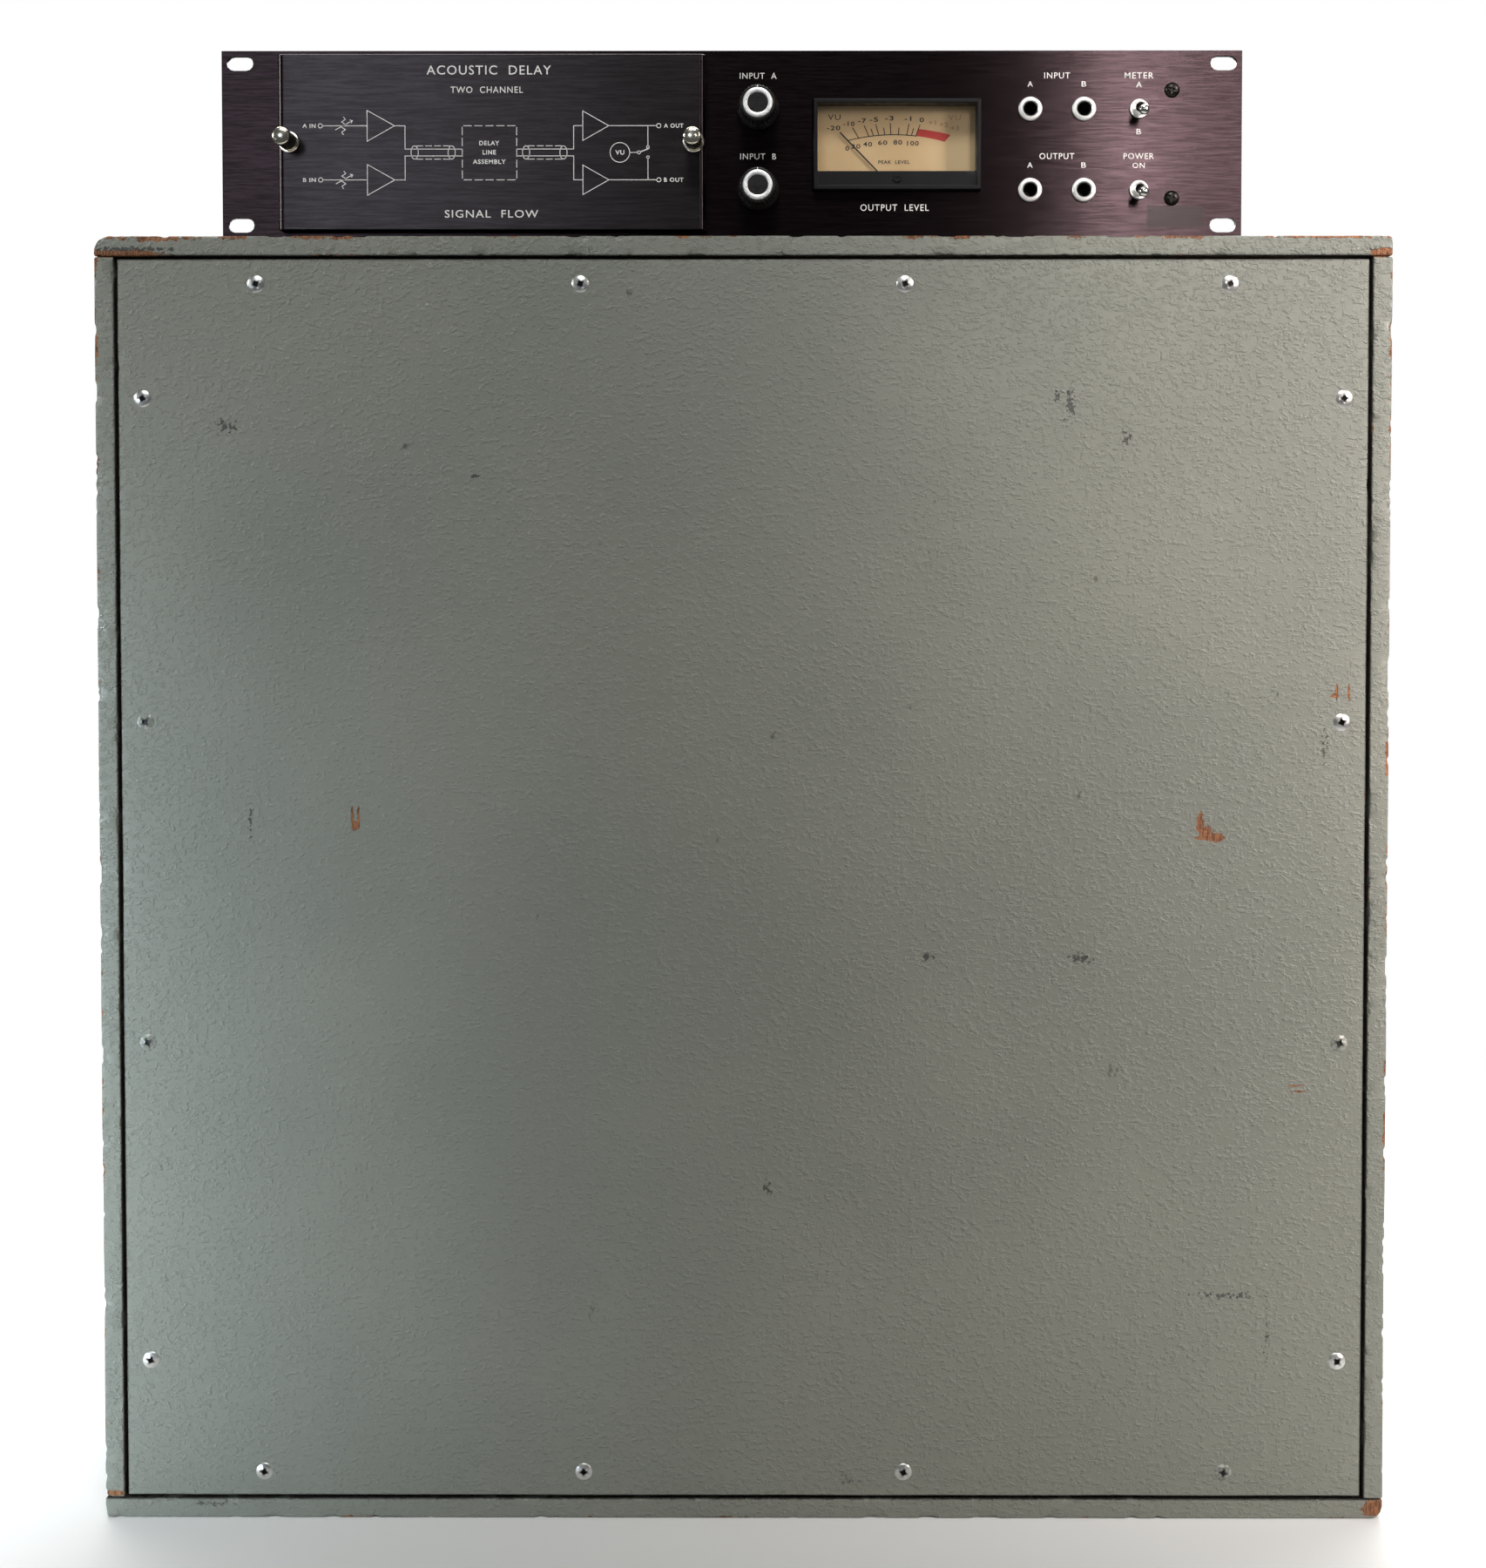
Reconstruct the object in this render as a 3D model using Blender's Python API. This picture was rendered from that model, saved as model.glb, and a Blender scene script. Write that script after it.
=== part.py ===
"""Two-channel acoustic audio delay: a two-unit rack panel and its delay-line cabinet.

The cabinet is a shallow plywood box whose front board is screwed to four cleats. Two coils
of hose hang inside it on a sprung former, each with a driver at one end and a pickup at the
other. The rack unit is a sheet chassis behind a 19-inch panel and stands on the cabinet.

Metres, +Z up. The front faces -Y and the origin is the middle of the cabinet's underside.
Everything of the rack unit is measured from the middle of its panel's front face.
"""
from math import cos, pi, radians, sin

import bmesh
import bpy
from mathutils import Matrix, Vector

GAP = 0.0003                 # between pieces that touch

# Cabinet
CABINET_WIDTH = 0.6096
CABINET_HEIGHT = 0.6096
CABINET_DEPTH = 0.254
PLY = 0.0095
EDGE_ROUND = 0.0025          # on the outer boards' long edges
FRONT_REVEAL = 0.0013        # dark line round the inset front board
CLEAT_WIDTH = 0.0254
CLEAT_DEPTH = 0.019
BOARD_SCREW_HEAD_D = 0.0083
BOARD_SCREW_SHANK_D = 0.0042
BOARD_SCREW_LENGTH = 0.022
BOARD_SCREW_PITCH = 0.1524
SCREW_CLEARANCE = 0.0003

# Delay lines
SOUND_SPEED = 343.0
DELAY_A = 0.014              # seconds
DELAY_B = 0.016
HOSE_D = 0.012
HOSE_STEPS = 24              # straight facets in one turn
COIL_TO_CLEAT = 0.030
COIL_TO_FRONT = 0.010
POST_SIZE = 0.018
POST_TO_HOSE = 0.003
FORMER_BOARD = 0.009
ISOLATOR_LENGTH = 0.024
ISOLATOR_D = 0.020
CAPSULE_D = 0.014
CAPSULE_LENGTH = 0.030
CAPSULE_ROOM = 0.003         # round a capsule, because the hose runs on a slant

# Round connectors on the rear of the cabinet and of the chassis
SOCKET_FLANGE_D = 0.028
SOCKET_BARREL_D = 0.019
SOCKET_BORE_D = 0.015
SOCKET_BEHIND = 0.018
SOCKET_PROUD = 0.004
CABINET_SOCKET_Z = 0.120

# Rack panel
PANEL_WIDTH = 0.4826
PANEL_HEIGHT = 0.0881
PANEL_THICKNESS = 0.0032
PANEL_SETBACK = 0.012        # behind the cabinet's front
PANEL_X = -0.0055            # the unit stands a little to the left
SLOT_LENGTH = 0.0125
SLOT_HEIGHT = 0.0067
SLOT_FROM_SIDE = 0.00875
SLOT_FROM_EDGE = 0.00595
PANEL_SCREW_X = 0.2082
PANEL_SCREW_Z = 0.0254
PANEL_SCREW_HEAD_D = 0.0074
PANEL_SCREW_HEAD_H = 0.0022
PANEL_SCREW_SHANK_D = 0.004
PANEL_SCREW_LENGTH = 0.009

# Chassis
CHASSIS_WIDTH = 0.4318
CHASSIS_DEPTH = 0.2125
CHASSIS_SHEET = 0.0016
CHASSIS_FLANGE = 0.012       # turned in behind the panel
LID_BELOW_PANEL = 0.002
LID_LIP = 0.010

# Access cover
COVER_LEFT = -0.2135
COVER_RIGHT = -0.0120
COVER_REVEAL = 0.003         # above and below it
COVER_STAND = 0.008
COVER_SHEET = 0.0016
COVER_BEND = 0.003
ACCESS_SIDE = 0.020          # from the cover's sides to the opening behind it
ACCESS_EDGE = 0.011
THUMBSCREW_INSET = 0.0056
THUMBSCREW_HEAD_D = 0.0082
THUMBSCREW_HEAD_LENGTH = 0.018
THUMBSCREW_COLLAR_D = 0.0100
THUMBSCREW_SHANK_D = 0.004

# Controls
KNOB_X = 0.0126
UPPER_ROW_Z = 0.0165
LOWER_ROW_Z = -0.0216
KNOB_D = 0.0200
KNOB_CAP_D = 0.0168
KNOB_HEIGHT = 0.0180
KNOB_OFF_PANEL = 0.0010
RING_OUTER_D = 0.0138
RING_INNER_D = 0.0095
RING_DEPTH = 0.0008
SHAFT_D = 0.00635
BUSHING_D = 0.0094
BUSHING_PROUD = 0.0045
POT_D = 0.024
POT_DEPTH = 0.014
RUNNING_CLEARANCE = 0.0004

JACK_X = (0.1412, 0.1666)
JACK_NUT_D = 0.0114
JACK_NUT_H = 0.0022
JACK_BUSHING_D = 0.0092
JACK_BORE_D = 0.0070
JACK_BODY_D = 0.016
JACK_DEPTH = 0.026

SWITCH_X = 0.1926
SWITCH_NUT_D = 0.0090
SWITCH_NUT_H = 0.0020
SWITCH_BUSHING_D = 0.0064
SWITCH_BUSHING_PROUD = 0.0060
SWITCH_BORE_D = 0.0048
SWITCH_BODY_WIDTH = 0.013
SWITCH_BODY_HEIGHT = 0.021
SWITCH_BODY_DEPTH = 0.022
LEVER_LENGTH = 0.0165
LEVER_ROOT_D = 0.0024
LEVER_TIP_D = 0.0048
LEVER_PIVOT_Y = -0.0030
LEVER_TILT = 12.5            # degrees either side of straight out

# Meter
METER_X = 0.0782
METER_Z = -0.0005
METER_WIDTH = 0.0790
METER_HEIGHT = 0.0426
METER_PROUD = 0.0050
METER_FRAME = 0.0020
METER_SKIRT = 0.0040         # the rear housing is this much larger all round
METER_DEPTH = 0.028
METER_WALL = 0.002
METER_STRIP_HEIGHT = 0.0070
METER_STRIP_BACK = 0.0025    # behind the frame's front
METER_GLASS = 0.0015
DIAL_BEHIND_WALL = 0.0024    # dial face behind the inside of the housing's front
DIAL_SHEET = 0.0008
NEEDLE_PIVOT_Z = -0.0210
NEEDLE_LENGTH = 0.0388
NEEDLE_WIDTH = 0.0008
NEEDLE_SHEET = 0.0004
NEEDLE_OFF_DIAL = 0.0012
NEEDLE_HUB_D = 0.0040
NEEDLE_REST = -44.0          # degrees from upright, to the left
ZERO_SCREW_D = 0.0044
ZERO_SCREW_H = 0.0008

# Inside and behind the chassis
LINE_SOCKET_X = -0.150
FUSE_X = 0.145
GLAND_X = 0.182
REAR_ROW_Z = -0.012
FUSE_D = 0.0125
FUSE_FLANGE_D = 0.018
FUSE_BEHIND = 0.030
FUSE_CAP_LENGTH = 0.009
GLAND_D = 0.0125
GLAND_BORE_D = 0.0080
STANDOFF = 0.006
BOARD_SHEET = 0.0016


def finish(name, colour, roughness, metallic=0.0):
    """One named finish, made once."""
    found = bpy.data.materials.get(name)
    if found:
        return found
    material = bpy.data.materials.new(name)
    material.use_nodes = True
    shader = material.node_tree.nodes["Principled BSDF"]
    shader.inputs["Base Color"].default_value = (*colour, 1.0)
    shader.inputs["Roughness"].default_value = roughness
    shader.inputs["Metallic"].default_value = metallic
    material.diffuse_color = (*colour, 1.0)
    return material


def painted_ply():
    return finish("grey_green_paint", (0.22, 0.27, 0.24), 0.5)


def bare_wood():
    return finish("bare_softwood", (0.55, 0.38, 0.22), 0.7)


def panel_anodising():
    return finish("dark_anodising", (0.035, 0.025, 0.030), 0.4, 0.6)


def cover_anodising():
    return finish("cover_anodising", (0.10, 0.08, 0.09), 0.38, 0.7)


def plated_sheet():
    return finish("plated_sheet", (0.55, 0.55, 0.52), 0.4, 1.0)


def bright_nickel():
    return finish("bright_nickel", (0.75, 0.74, 0.70), 0.25, 1.0)


def black_plastic():
    return finish("black_plastic", (0.02, 0.02, 0.02), 0.4)


def circuit_board():
    return finish("circuit_board", (0.06, 0.20, 0.10), 0.5)


def link(name, mesh):
    """A new scene object that holds the mesh."""
    item = bpy.data.objects.new(name, mesh)
    bpy.context.scene.collection.objects.link(item)
    return item


def mesh_of(points, faces):
    """A mesh with all its faces turned outwards."""
    shape = bmesh.new()
    corners = [shape.verts.new(point) for point in points]
    for face in faces:
        shape.faces.new([corners[i] for i in face])
    bmesh.ops.recalc_face_normals(shape, faces=shape.faces)
    mesh = bpy.data.meshes.new("shape")
    shape.to_mesh(mesh)
    shape.free()
    return mesh


def block(name, x, y, z, round_edges=0.0, along=None):
    """A box between pairs of x, y and z, its edges along one axis rounded if asked."""
    points = [(i, j, k) for i in x for j in y for k in z]
    faces = [(0, 1, 3, 2), (4, 6, 7, 5), (0, 4, 5, 1), (2, 3, 7, 6), (0, 2, 6, 4), (1, 5, 7, 3)]
    item = link(name, mesh_of(points, faces))
    if round_edges:
        shape = bmesh.new()
        shape.from_mesh(item.data)
        chosen = []
        for edge in shape.edges:
            run = (edge.verts[0].co - edge.verts[1].co).normalized()
            if abs(run[along]) > 0.9:
                chosen.append(edge)
        bmesh.ops.bevel(shape, geom=chosen, offset=round_edges, segments=2, profile=0.5,
                        affect="EDGES")
        shape.to_mesh(item.data)
        shape.free()
    return item


def extruded(name, outline, low, high):
    """A prism along Z over an outline of (x, y) points."""
    count = len(outline)
    points = [(x, y, z) for z in (low, high) for x, y in outline]
    sides = [(i, (i + 1) % count, (i + 1) % count + count, i + count) for i in range(count)]
    ends = [tuple(range(count)), tuple(range(count, 2 * count))]
    return link(name, mesh_of(points, sides + ends))


def turned(name, profile, x=0.0, z=0.0, sides=12):
    """A solid turned about a line along Y, from (radius, y) points.

    A profile that starts and ends on the line is closed there, and any other is a ring.
    """
    points, rings = [], []
    for radius, y in profile:
        if radius == 0:
            rings.append([len(points)])
            points.append((x, y, z))
        else:
            rings.append([len(points) + i for i in range(sides)])
            for i in range(sides):
                angle = 2 * pi * (i + 0.5) / sides
                points.append((x + radius * cos(angle), y, z + radius * sin(angle)))
    pairs = list(zip(rings, rings[1:]))
    if profile[0][0] > 0:
        pairs.append((rings[-1], rings[0]))
    faces = []
    for one, two in pairs:
        for i in range(sides):
            j = (i + 1) % sides
            corners = [one[i % len(one)], one[j % len(one)], two[j % len(two)], two[i % len(two)]]
            faces.append(tuple(dict.fromkeys(corners)))
    item = link(name, mesh_of(points, faces))
    item.data.shade_smooth()
    item.data.set_sharp_from_angle(angle=radians(40))
    return item


def rod(diameter, y0, y1, x=0.0, z=0.0, sides=12):
    """A plain round bar along Y."""
    return turned("rod", [(0, y0), (diameter / 2, y0), (diameter / 2, y1), (0, y1)], x, z, sides)


def combine(item, others, operation):
    """Cut the others from the item, or join them to it, and remove them."""
    for other in others:
        other.hide_render = True
        other.display_type = "WIRE"
        step = item.modifiers.new("combine", "BOOLEAN")
        step.operation = operation
        step.solver = "EXACT"
        step.object = other
    bpy.context.view_layer.update()
    graph = bpy.context.evaluated_depsgraph_get()
    result = bpy.data.meshes.new_from_object(item.evaluated_get(graph))
    item.modifiers.clear()
    item.data = result
    for other in others:
        bpy.data.objects.remove(other, do_unlink=True)
    return item


def cut(item, *others):
    return combine(item, others, "DIFFERENCE")


def join(item, *others):
    return combine(item, others, "UNION")


def node(name, item, material, parent=None, location=(0, 0, 0), turn_x=0.0, turn_y=0.0):
    """Name a finished piece, give it its material and put it in its place."""
    item.name = name
    item.data.name = name
    item.data.materials.clear()
    item.data.materials.append(material)
    item.parent = parent
    item.location = location
    item.rotation_euler = (turn_x, turn_y, 0)
    return item


def slot_cutter(x, z, y0, y1, sides=12):
    """A round-ended slot along X, through y0 to y1."""
    straight = (SLOT_LENGTH - SLOT_HEIGHT) / 2
    radius = SLOT_HEIGHT / 2
    outline = []
    for side in (1, -1):
        for i in range(sides // 2 + 1):
            angle = -pi / 2 + pi * i / (sides // 2)
            outline.append((side * (straight + radius * cos(angle)), side * radius * sin(angle)))
    count = len(outline)
    points = [(x + u, y, z + v) for y in (y0, y1) for u, v in outline]
    walls = [(i, (i + 1) % count, (i + 1) % count + count, i + count) for i in range(count)]
    ends = [tuple(range(count)), tuple(range(count, 2 * count))]
    return link("slot", mesh_of(points, walls + ends))


# ---------------------------------------------------------------- cabinet

def cabinet_front_y():
    return -CABINET_DEPTH / 2


def board_screw_places():
    """(cleat name, x, z) of the sixteen screws, on the centre lines of the cleats."""
    side = CABINET_WIDTH / 2 - PLY - CLEAT_WIDTH / 2
    low = PLY + CLEAT_WIDTH / 2
    high = CABINET_HEIGHT - low
    middle = CABINET_HEIGHT / 2
    steps = (-1.5, -0.5, 0.5, 1.5)
    places = []
    for step in steps:
        places.append(("top_cleat", step * BOARD_SCREW_PITCH, high))
        places.append(("bottom_cleat", step * BOARD_SCREW_PITCH, low))
        places.append(("left_cleat", -side, middle + step * BOARD_SCREW_PITCH))
        places.append(("right_cleat", side, middle + step * BOARD_SCREW_PITCH))
    return places


def board_screw(x, z, extra=0.0):
    """A countersunk screw, or its hole when extra is the clearance round it."""
    front = cabinet_front_y()
    head = BOARD_SCREW_HEAD_D / 2 + extra
    shank = BOARD_SCREW_SHANK_D / 2 + extra
    face = front - extra
    cone = front + (BOARD_SCREW_HEAD_D - BOARD_SCREW_SHANK_D) / 2 + extra
    tip = front + BOARD_SCREW_LENGTH
    return turned("screw", [(0, face), (head, face), (shank, cone), (shank, tip), (0, tip)],
                  x, z, 10)


def cabinet_shell():
    """Six plywood boards: the top and bottom lap the sides, front and back are inset."""
    half = CABINET_WIDTH / 2
    front, back = cabinet_front_y(), CABINET_DEPTH / 2
    depth = (front, back)
    for name, low in (("cabinet_bottom_board", 0.0), ("cabinet_top_board", CABINET_HEIGHT - PLY)):
        board = block(name, (-half, half), depth, (low, low + PLY), EDGE_ROUND, 1)
        node(name, board, painted_ply())
    between = (PLY + GAP, CABINET_HEIGHT - PLY - GAP)
    for name, side in (("cabinet_left_board", -1), ("cabinet_right_board", 1)):
        x = sorted((side * half, side * (half - PLY)))
        node(name, block(name, x, depth, between), painted_ply())

    inner = half - PLY - GAP
    rear = block("back", (-inner, inner), (back - PLY, back), between)
    hole = rod(SOCKET_BARREL_D + 2 * SCREW_CLEARANCE, back - 2 * PLY, back + PLY, 0,
               CABINET_SOCKET_Z, 16)
    node("cabinet_back_board", cut(rear, hole), painted_ply())

    edge = half - PLY - FRONT_REVEAL
    z = (PLY + FRONT_REVEAL, CABINET_HEIGHT - PLY - FRONT_REVEAL)
    panel = block("front", (-edge, edge), (front, front + PLY), z)
    holes = [board_screw(x, z, SCREW_CLEARANCE) for _, x, z in board_screw_places()]
    node("cabinet_front_board", cut(panel, *holes), painted_ply())


def cleats():
    """Four battens behind the front board, each with the four screws driven into it."""
    y0 = cabinet_front_y() + PLY + GAP
    y = (y0, y0 + CLEAT_DEPTH)
    inner = CABINET_WIDTH / 2 - PLY - GAP
    low, high = PLY + GAP, CABINET_HEIGHT - PLY - GAP
    sticks = {
        "top_cleat": ((-inner, inner), (high - CLEAT_WIDTH, high)),
        "bottom_cleat": ((-inner, inner), (low, low + CLEAT_WIDTH)),
        "left_cleat": ((-inner, CLEAT_WIDTH - inner),
                       (low + CLEAT_WIDTH + GAP, high - CLEAT_WIDTH - GAP)),
        "right_cleat": ((inner - CLEAT_WIDTH, inner),
                        (low + CLEAT_WIDTH + GAP, high - CLEAT_WIDTH - GAP)),
    }
    for name, (x, z) in sticks.items():
        screws = [board_screw(sx, sz) for cleat, sx, sz in board_screw_places() if cleat == name]
        node(name, join(block(name, x, y, z), *screws), bare_wood())


def rear_socket(name, y, x, z, parent=None):
    """A round panel connector with an open mouth towards +Y, its flange on the face at y."""
    flange, barrel, bore = SOCKET_FLANGE_D / 2, SOCKET_BARREL_D / 2, SOCKET_BORE_D / 2
    mouth = y + SOCKET_PROUD
    end = y - SOCKET_BEHIND
    web = 0.003
    item = turned(name, [(0, end), (barrel, end), (barrel, y + GAP), (flange, y + GAP),
                         (flange, y + SOCKET_PROUD / 2), (barrel, mouth), (bore, mouth),
                         (bore, end + web), (0, end + web)], x, z, 16)
    return node(name, item, plated_sheet(), parent)


# ------------------------------------------------------------ delay lines

def coil_radius():
    smaller = min(CABINET_WIDTH, CABINET_HEIGHT) / 2
    return smaller - PLY - CLEAT_WIDTH - COIL_TO_CLEAT


def former_face_y():
    return CABINET_DEPTH / 2 - PLY - GAP - ISOLATOR_LENGTH - GAP - FORMER_BOARD


def coil_layout():
    """Start y, turns and pitch of coil A, in front, and coil B, behind it."""
    around = 2 * pi * coil_radius()
    turns_a = DELAY_A * SOUND_SPEED / around
    turns_b = DELAY_B * SOUND_SPEED / around
    first = cabinet_front_y() + PLY + CLEAT_DEPTH + COIL_TO_FRONT
    last = former_face_y() - CAPSULE_D / 2 - CAPSULE_ROOM
    between = CAPSULE_D + CAPSULE_ROOM
    pitch = (last - first - between) / (turns_a + turns_b)
    return (first, turns_a, pitch), (first + turns_a * pitch + between, turns_b, pitch)


def coil_point(start_y, pitch, turns):
    """A point on the hose after this many turns, counted from the lowest point."""
    angle = 2 * pi * turns - pi / 2
    radius = coil_radius()
    return Vector((radius * cos(angle), start_y + pitch * turns,
                   CABINET_HEIGHT / 2 + radius * sin(angle)))


def hose_points(start_y, turns, pitch):
    """The points that a coil of hose runs through."""
    steps = round(turns * HOSE_STEPS)
    return [coil_point(start_y, pitch, turns * i / steps) for i in range(steps + 1)]


def hose(name, points):
    """A coil of hose as a bevelled curve with closed ends."""
    curve = bpy.data.curves.new(name, "CURVE")
    curve.dimensions = "3D"
    curve.bevel_depth = HOSE_D / 2
    curve.bevel_resolution = 1
    curve.use_fill_caps = True
    run = curve.splines.new("POLY")
    run.points.add(len(points) - 1)
    for place, point in zip(run.points, points):
        place.co = (*point, 1.0)
    item = link(name, curve)
    bpy.context.view_layer.update()
    graph = bpy.context.evaluated_depsgraph_get()
    mesh = bpy.data.meshes.new_from_object(item.evaluated_get(graph))
    bpy.data.objects.remove(item, do_unlink=True)
    node(name, link(name, mesh), finish("green_hose", (0.05, 0.16, 0.08), 0.4))


def capsule(name, end, neighbour):
    """A small transducer housing in line with the hose's end."""
    way = (end - neighbour).normalized()
    item = rod(CAPSULE_D, 2 * GAP, 2 * GAP + CAPSULE_LENGTH, sides=12)
    turn = Vector((0, 1, 0)).rotation_difference(way).to_matrix().to_4x4()
    item.data.transform(Matrix.Translation(end) @ turn)
    node(name, item, black_plastic())


def delay_lines():
    """The former on its four isolators, both hoses, their drivers and their pickups."""
    face = former_face_y()
    middle = CABINET_HEIGHT / 2
    reach = coil_radius() - HOSE_D / 2 - POST_TO_HOSE
    post_front = cabinet_front_y() + PLY + CLEAT_DEPTH
    half = coil_radius() + HOSE_D
    board = block("former", (-half, half), (face, face + FORMER_BOARD),
                  (middle - half, middle + half))
    posts = []
    for turn in range(4):
        angle = pi / 4 + turn * pi / 2
        outer = reach - POST_SIZE * 0.5
        x, z = outer * cos(angle), middle + outer * sin(angle)
        posts.append(rod(POST_SIZE, post_front, face + FORMER_BOARD / 2, x, z, 8))
    node("coil_former", join(board, *posts), bare_wood())

    spot = half - ISOLATOR_D
    corners = {"upper_left": (-1, 1), "upper_right": (1, 1),
               "lower_left": (-1, -1), "lower_right": (1, -1)}
    for word, (sx, sz) in corners.items():
        y = face + FORMER_BOARD + GAP
        mount = rod(ISOLATOR_D, y, y + ISOLATOR_LENGTH, sx * spot, middle + sz * spot, 10)
        node("isolator_" + word, mount, finish("rubber", (0.02, 0.02, 0.02), 0.8))

    for letter, (start_y, turns, pitch) in zip("ab", coil_layout()):
        points = hose_points(start_y, turns, pitch)
        hose("delay_hose_" + letter, points)
        capsule("hose_driver_" + letter, points[0], points[1])
        capsule("hose_pickup_" + letter, points[-1], points[-2])


# ------------------------------------------------------ panel and chassis

def chassis_front_y():
    return PANEL_THICKNESS + GAP


def chassis_rear_y():
    return chassis_front_y() + CHASSIS_DEPTH


def thumbscrew_places():
    return {"thumbscrew_left": COVER_LEFT + THUMBSCREW_INSET,
            "thumbscrew_right": COVER_RIGHT - THUMBSCREW_INSET}


def panel_screw_places():
    return {"panel_screw_upper": PANEL_SCREW_Z, "panel_screw_lower": -PANEL_SCREW_Z}


def rack_panel(rack):
    """A flat 19-inch plate, two units high, pierced for everything that it carries."""
    through = (-PANEL_THICKNESS, 2 * PANEL_THICKNESS)
    half_w, half_h = PANEL_WIDTH / 2, PANEL_HEIGHT / 2
    plate = block("plate", (-half_w, half_w), (0, PANEL_THICKNESS), (-half_h, half_h))
    tools = []
    for side in (-1, 1):
        for up in (-1, 1):
            tools.append(slot_cutter(side * (half_w - SLOT_FROM_SIDE),
                                     up * (half_h - SLOT_FROM_EDGE), *through))
    reach = half_h - COVER_REVEAL - ACCESS_EDGE
    tools.append(block("access", (COVER_LEFT + ACCESS_SIDE, COVER_RIGHT - ACCESS_SIDE),
                       through, (-reach, reach)))
    half_meter = METER_WIDTH / 2 + GAP
    tall_meter = METER_HEIGHT / 2 + GAP
    tools.append(block("meter", (METER_X - half_meter, METER_X + half_meter), through,
                       (METER_Z - tall_meter, METER_Z + tall_meter)))
    room = 2 * SCREW_CLEARANCE
    for z in (UPPER_ROW_Z, LOWER_ROW_Z):
        tools.append(rod(BUSHING_D + room, *through, KNOB_X, z))
        tools.append(rod(SWITCH_BUSHING_D + room, *through, SWITCH_X, z))
        for x in JACK_X:
            tools.append(rod(JACK_BUSHING_D + room, *through, x, z))
    for z in panel_screw_places().values():
        tools.append(rod(PANEL_SCREW_SHANK_D + room, *through, PANEL_SCREW_X, z, 10))
    for x in thumbscrew_places().values():
        tools.append(rod(THUMBSCREW_SHANK_D + room, *through, x, 0, 10))
    node("rack_panel", cut(plate, *tools), panel_anodising(), rack)


def chassis(rack):
    """A tray with turned-in front flanges, and a lid whose lips hang over its sides."""
    half = CHASSIS_WIDTH / 2
    floor = -PANEL_HEIGHT / 2
    rim = PANEL_HEIGHT / 2 - LID_BELOW_PANEL - CHASSIS_SHEET - GAP
    front, rear = chassis_front_y(), chassis_rear_y()
    tray = block("tray", (-half, half), (front, rear), (floor, rim))
    inside = half - CHASSIS_SHEET
    above = rim + CHASSIS_SHEET
    hollow = block("hollow", (-inside, inside), (front + CHASSIS_SHEET, rear - CHASSIS_SHEET),
                   (floor + CHASSIS_SHEET, above))
    doorway = inside - CHASSIS_FLANGE
    way_in = block("way_in", (-doorway, doorway), (front - CHASSIS_SHEET, front + CHASSIS_FLANGE),
                   (floor + CHASSIS_SHEET, above))
    room = 2 * SCREW_CLEARANCE
    ahead = (front - CHASSIS_SHEET, front + 2 * CHASSIS_SHEET)
    behind = (rear - 2 * CHASSIS_SHEET, rear + CHASSIS_SHEET)
    tools = [hollow, way_in,
             rod(SOCKET_BARREL_D + room, *behind, LINE_SOCKET_X, REAR_ROW_Z, 16),
             rod(FUSE_D + room, *behind, FUSE_X, REAR_ROW_Z),
             rod(GLAND_D + room, *behind, GLAND_X, REAR_ROW_Z),
             rod(THUMBSCREW_SHANK_D + room, *ahead, thumbscrew_places()["thumbscrew_left"], 0, 10)]
    for z in panel_screw_places().values():
        tools.append(rod(PANEL_SCREW_SHANK_D + room, *ahead, PANEL_SCREW_X, z, 10))
    for tool in tools:
        cut(tray, tool)
    node("chassis_tray", tray, plated_sheet(), rack)

    outer = half + GAP + CHASSIS_SHEET
    top = rim + GAP + CHASSIS_SHEET
    lid = block("lid", (-outer, outer), (front, rear), (top - LID_LIP, top))
    under = block("under", (-half - GAP, half + GAP), (front - GAP, rear + GAP),
                  (top - 2 * LID_LIP, top - CHASSIS_SHEET))
    node("chassis_lid", cut(lid, under), plated_sheet(), rack)


def panel_screws(rack):
    """Two pan-head screws at the panel's right-hand end."""
    head, shank = PANEL_SCREW_HEAD_D / 2, PANEL_SCREW_SHANK_D / 2
    crown = PANEL_SCREW_HEAD_H
    for name, z in panel_screw_places().items():
        item = turned(name, [(0, -crown - GAP), (head * 0.6, -crown - GAP),
                             (head * 0.92, -crown * 0.7), (head, -crown * 0.3), (head, -GAP),
                             (shank, -GAP), (shank, PANEL_SCREW_LENGTH),
                             (0, PANEL_SCREW_LENGTH)])
        node(name, item, black_plastic(), rack, (PANEL_SCREW_X, 0, z))


# ----------------------------------------------------------- access cover

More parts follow.
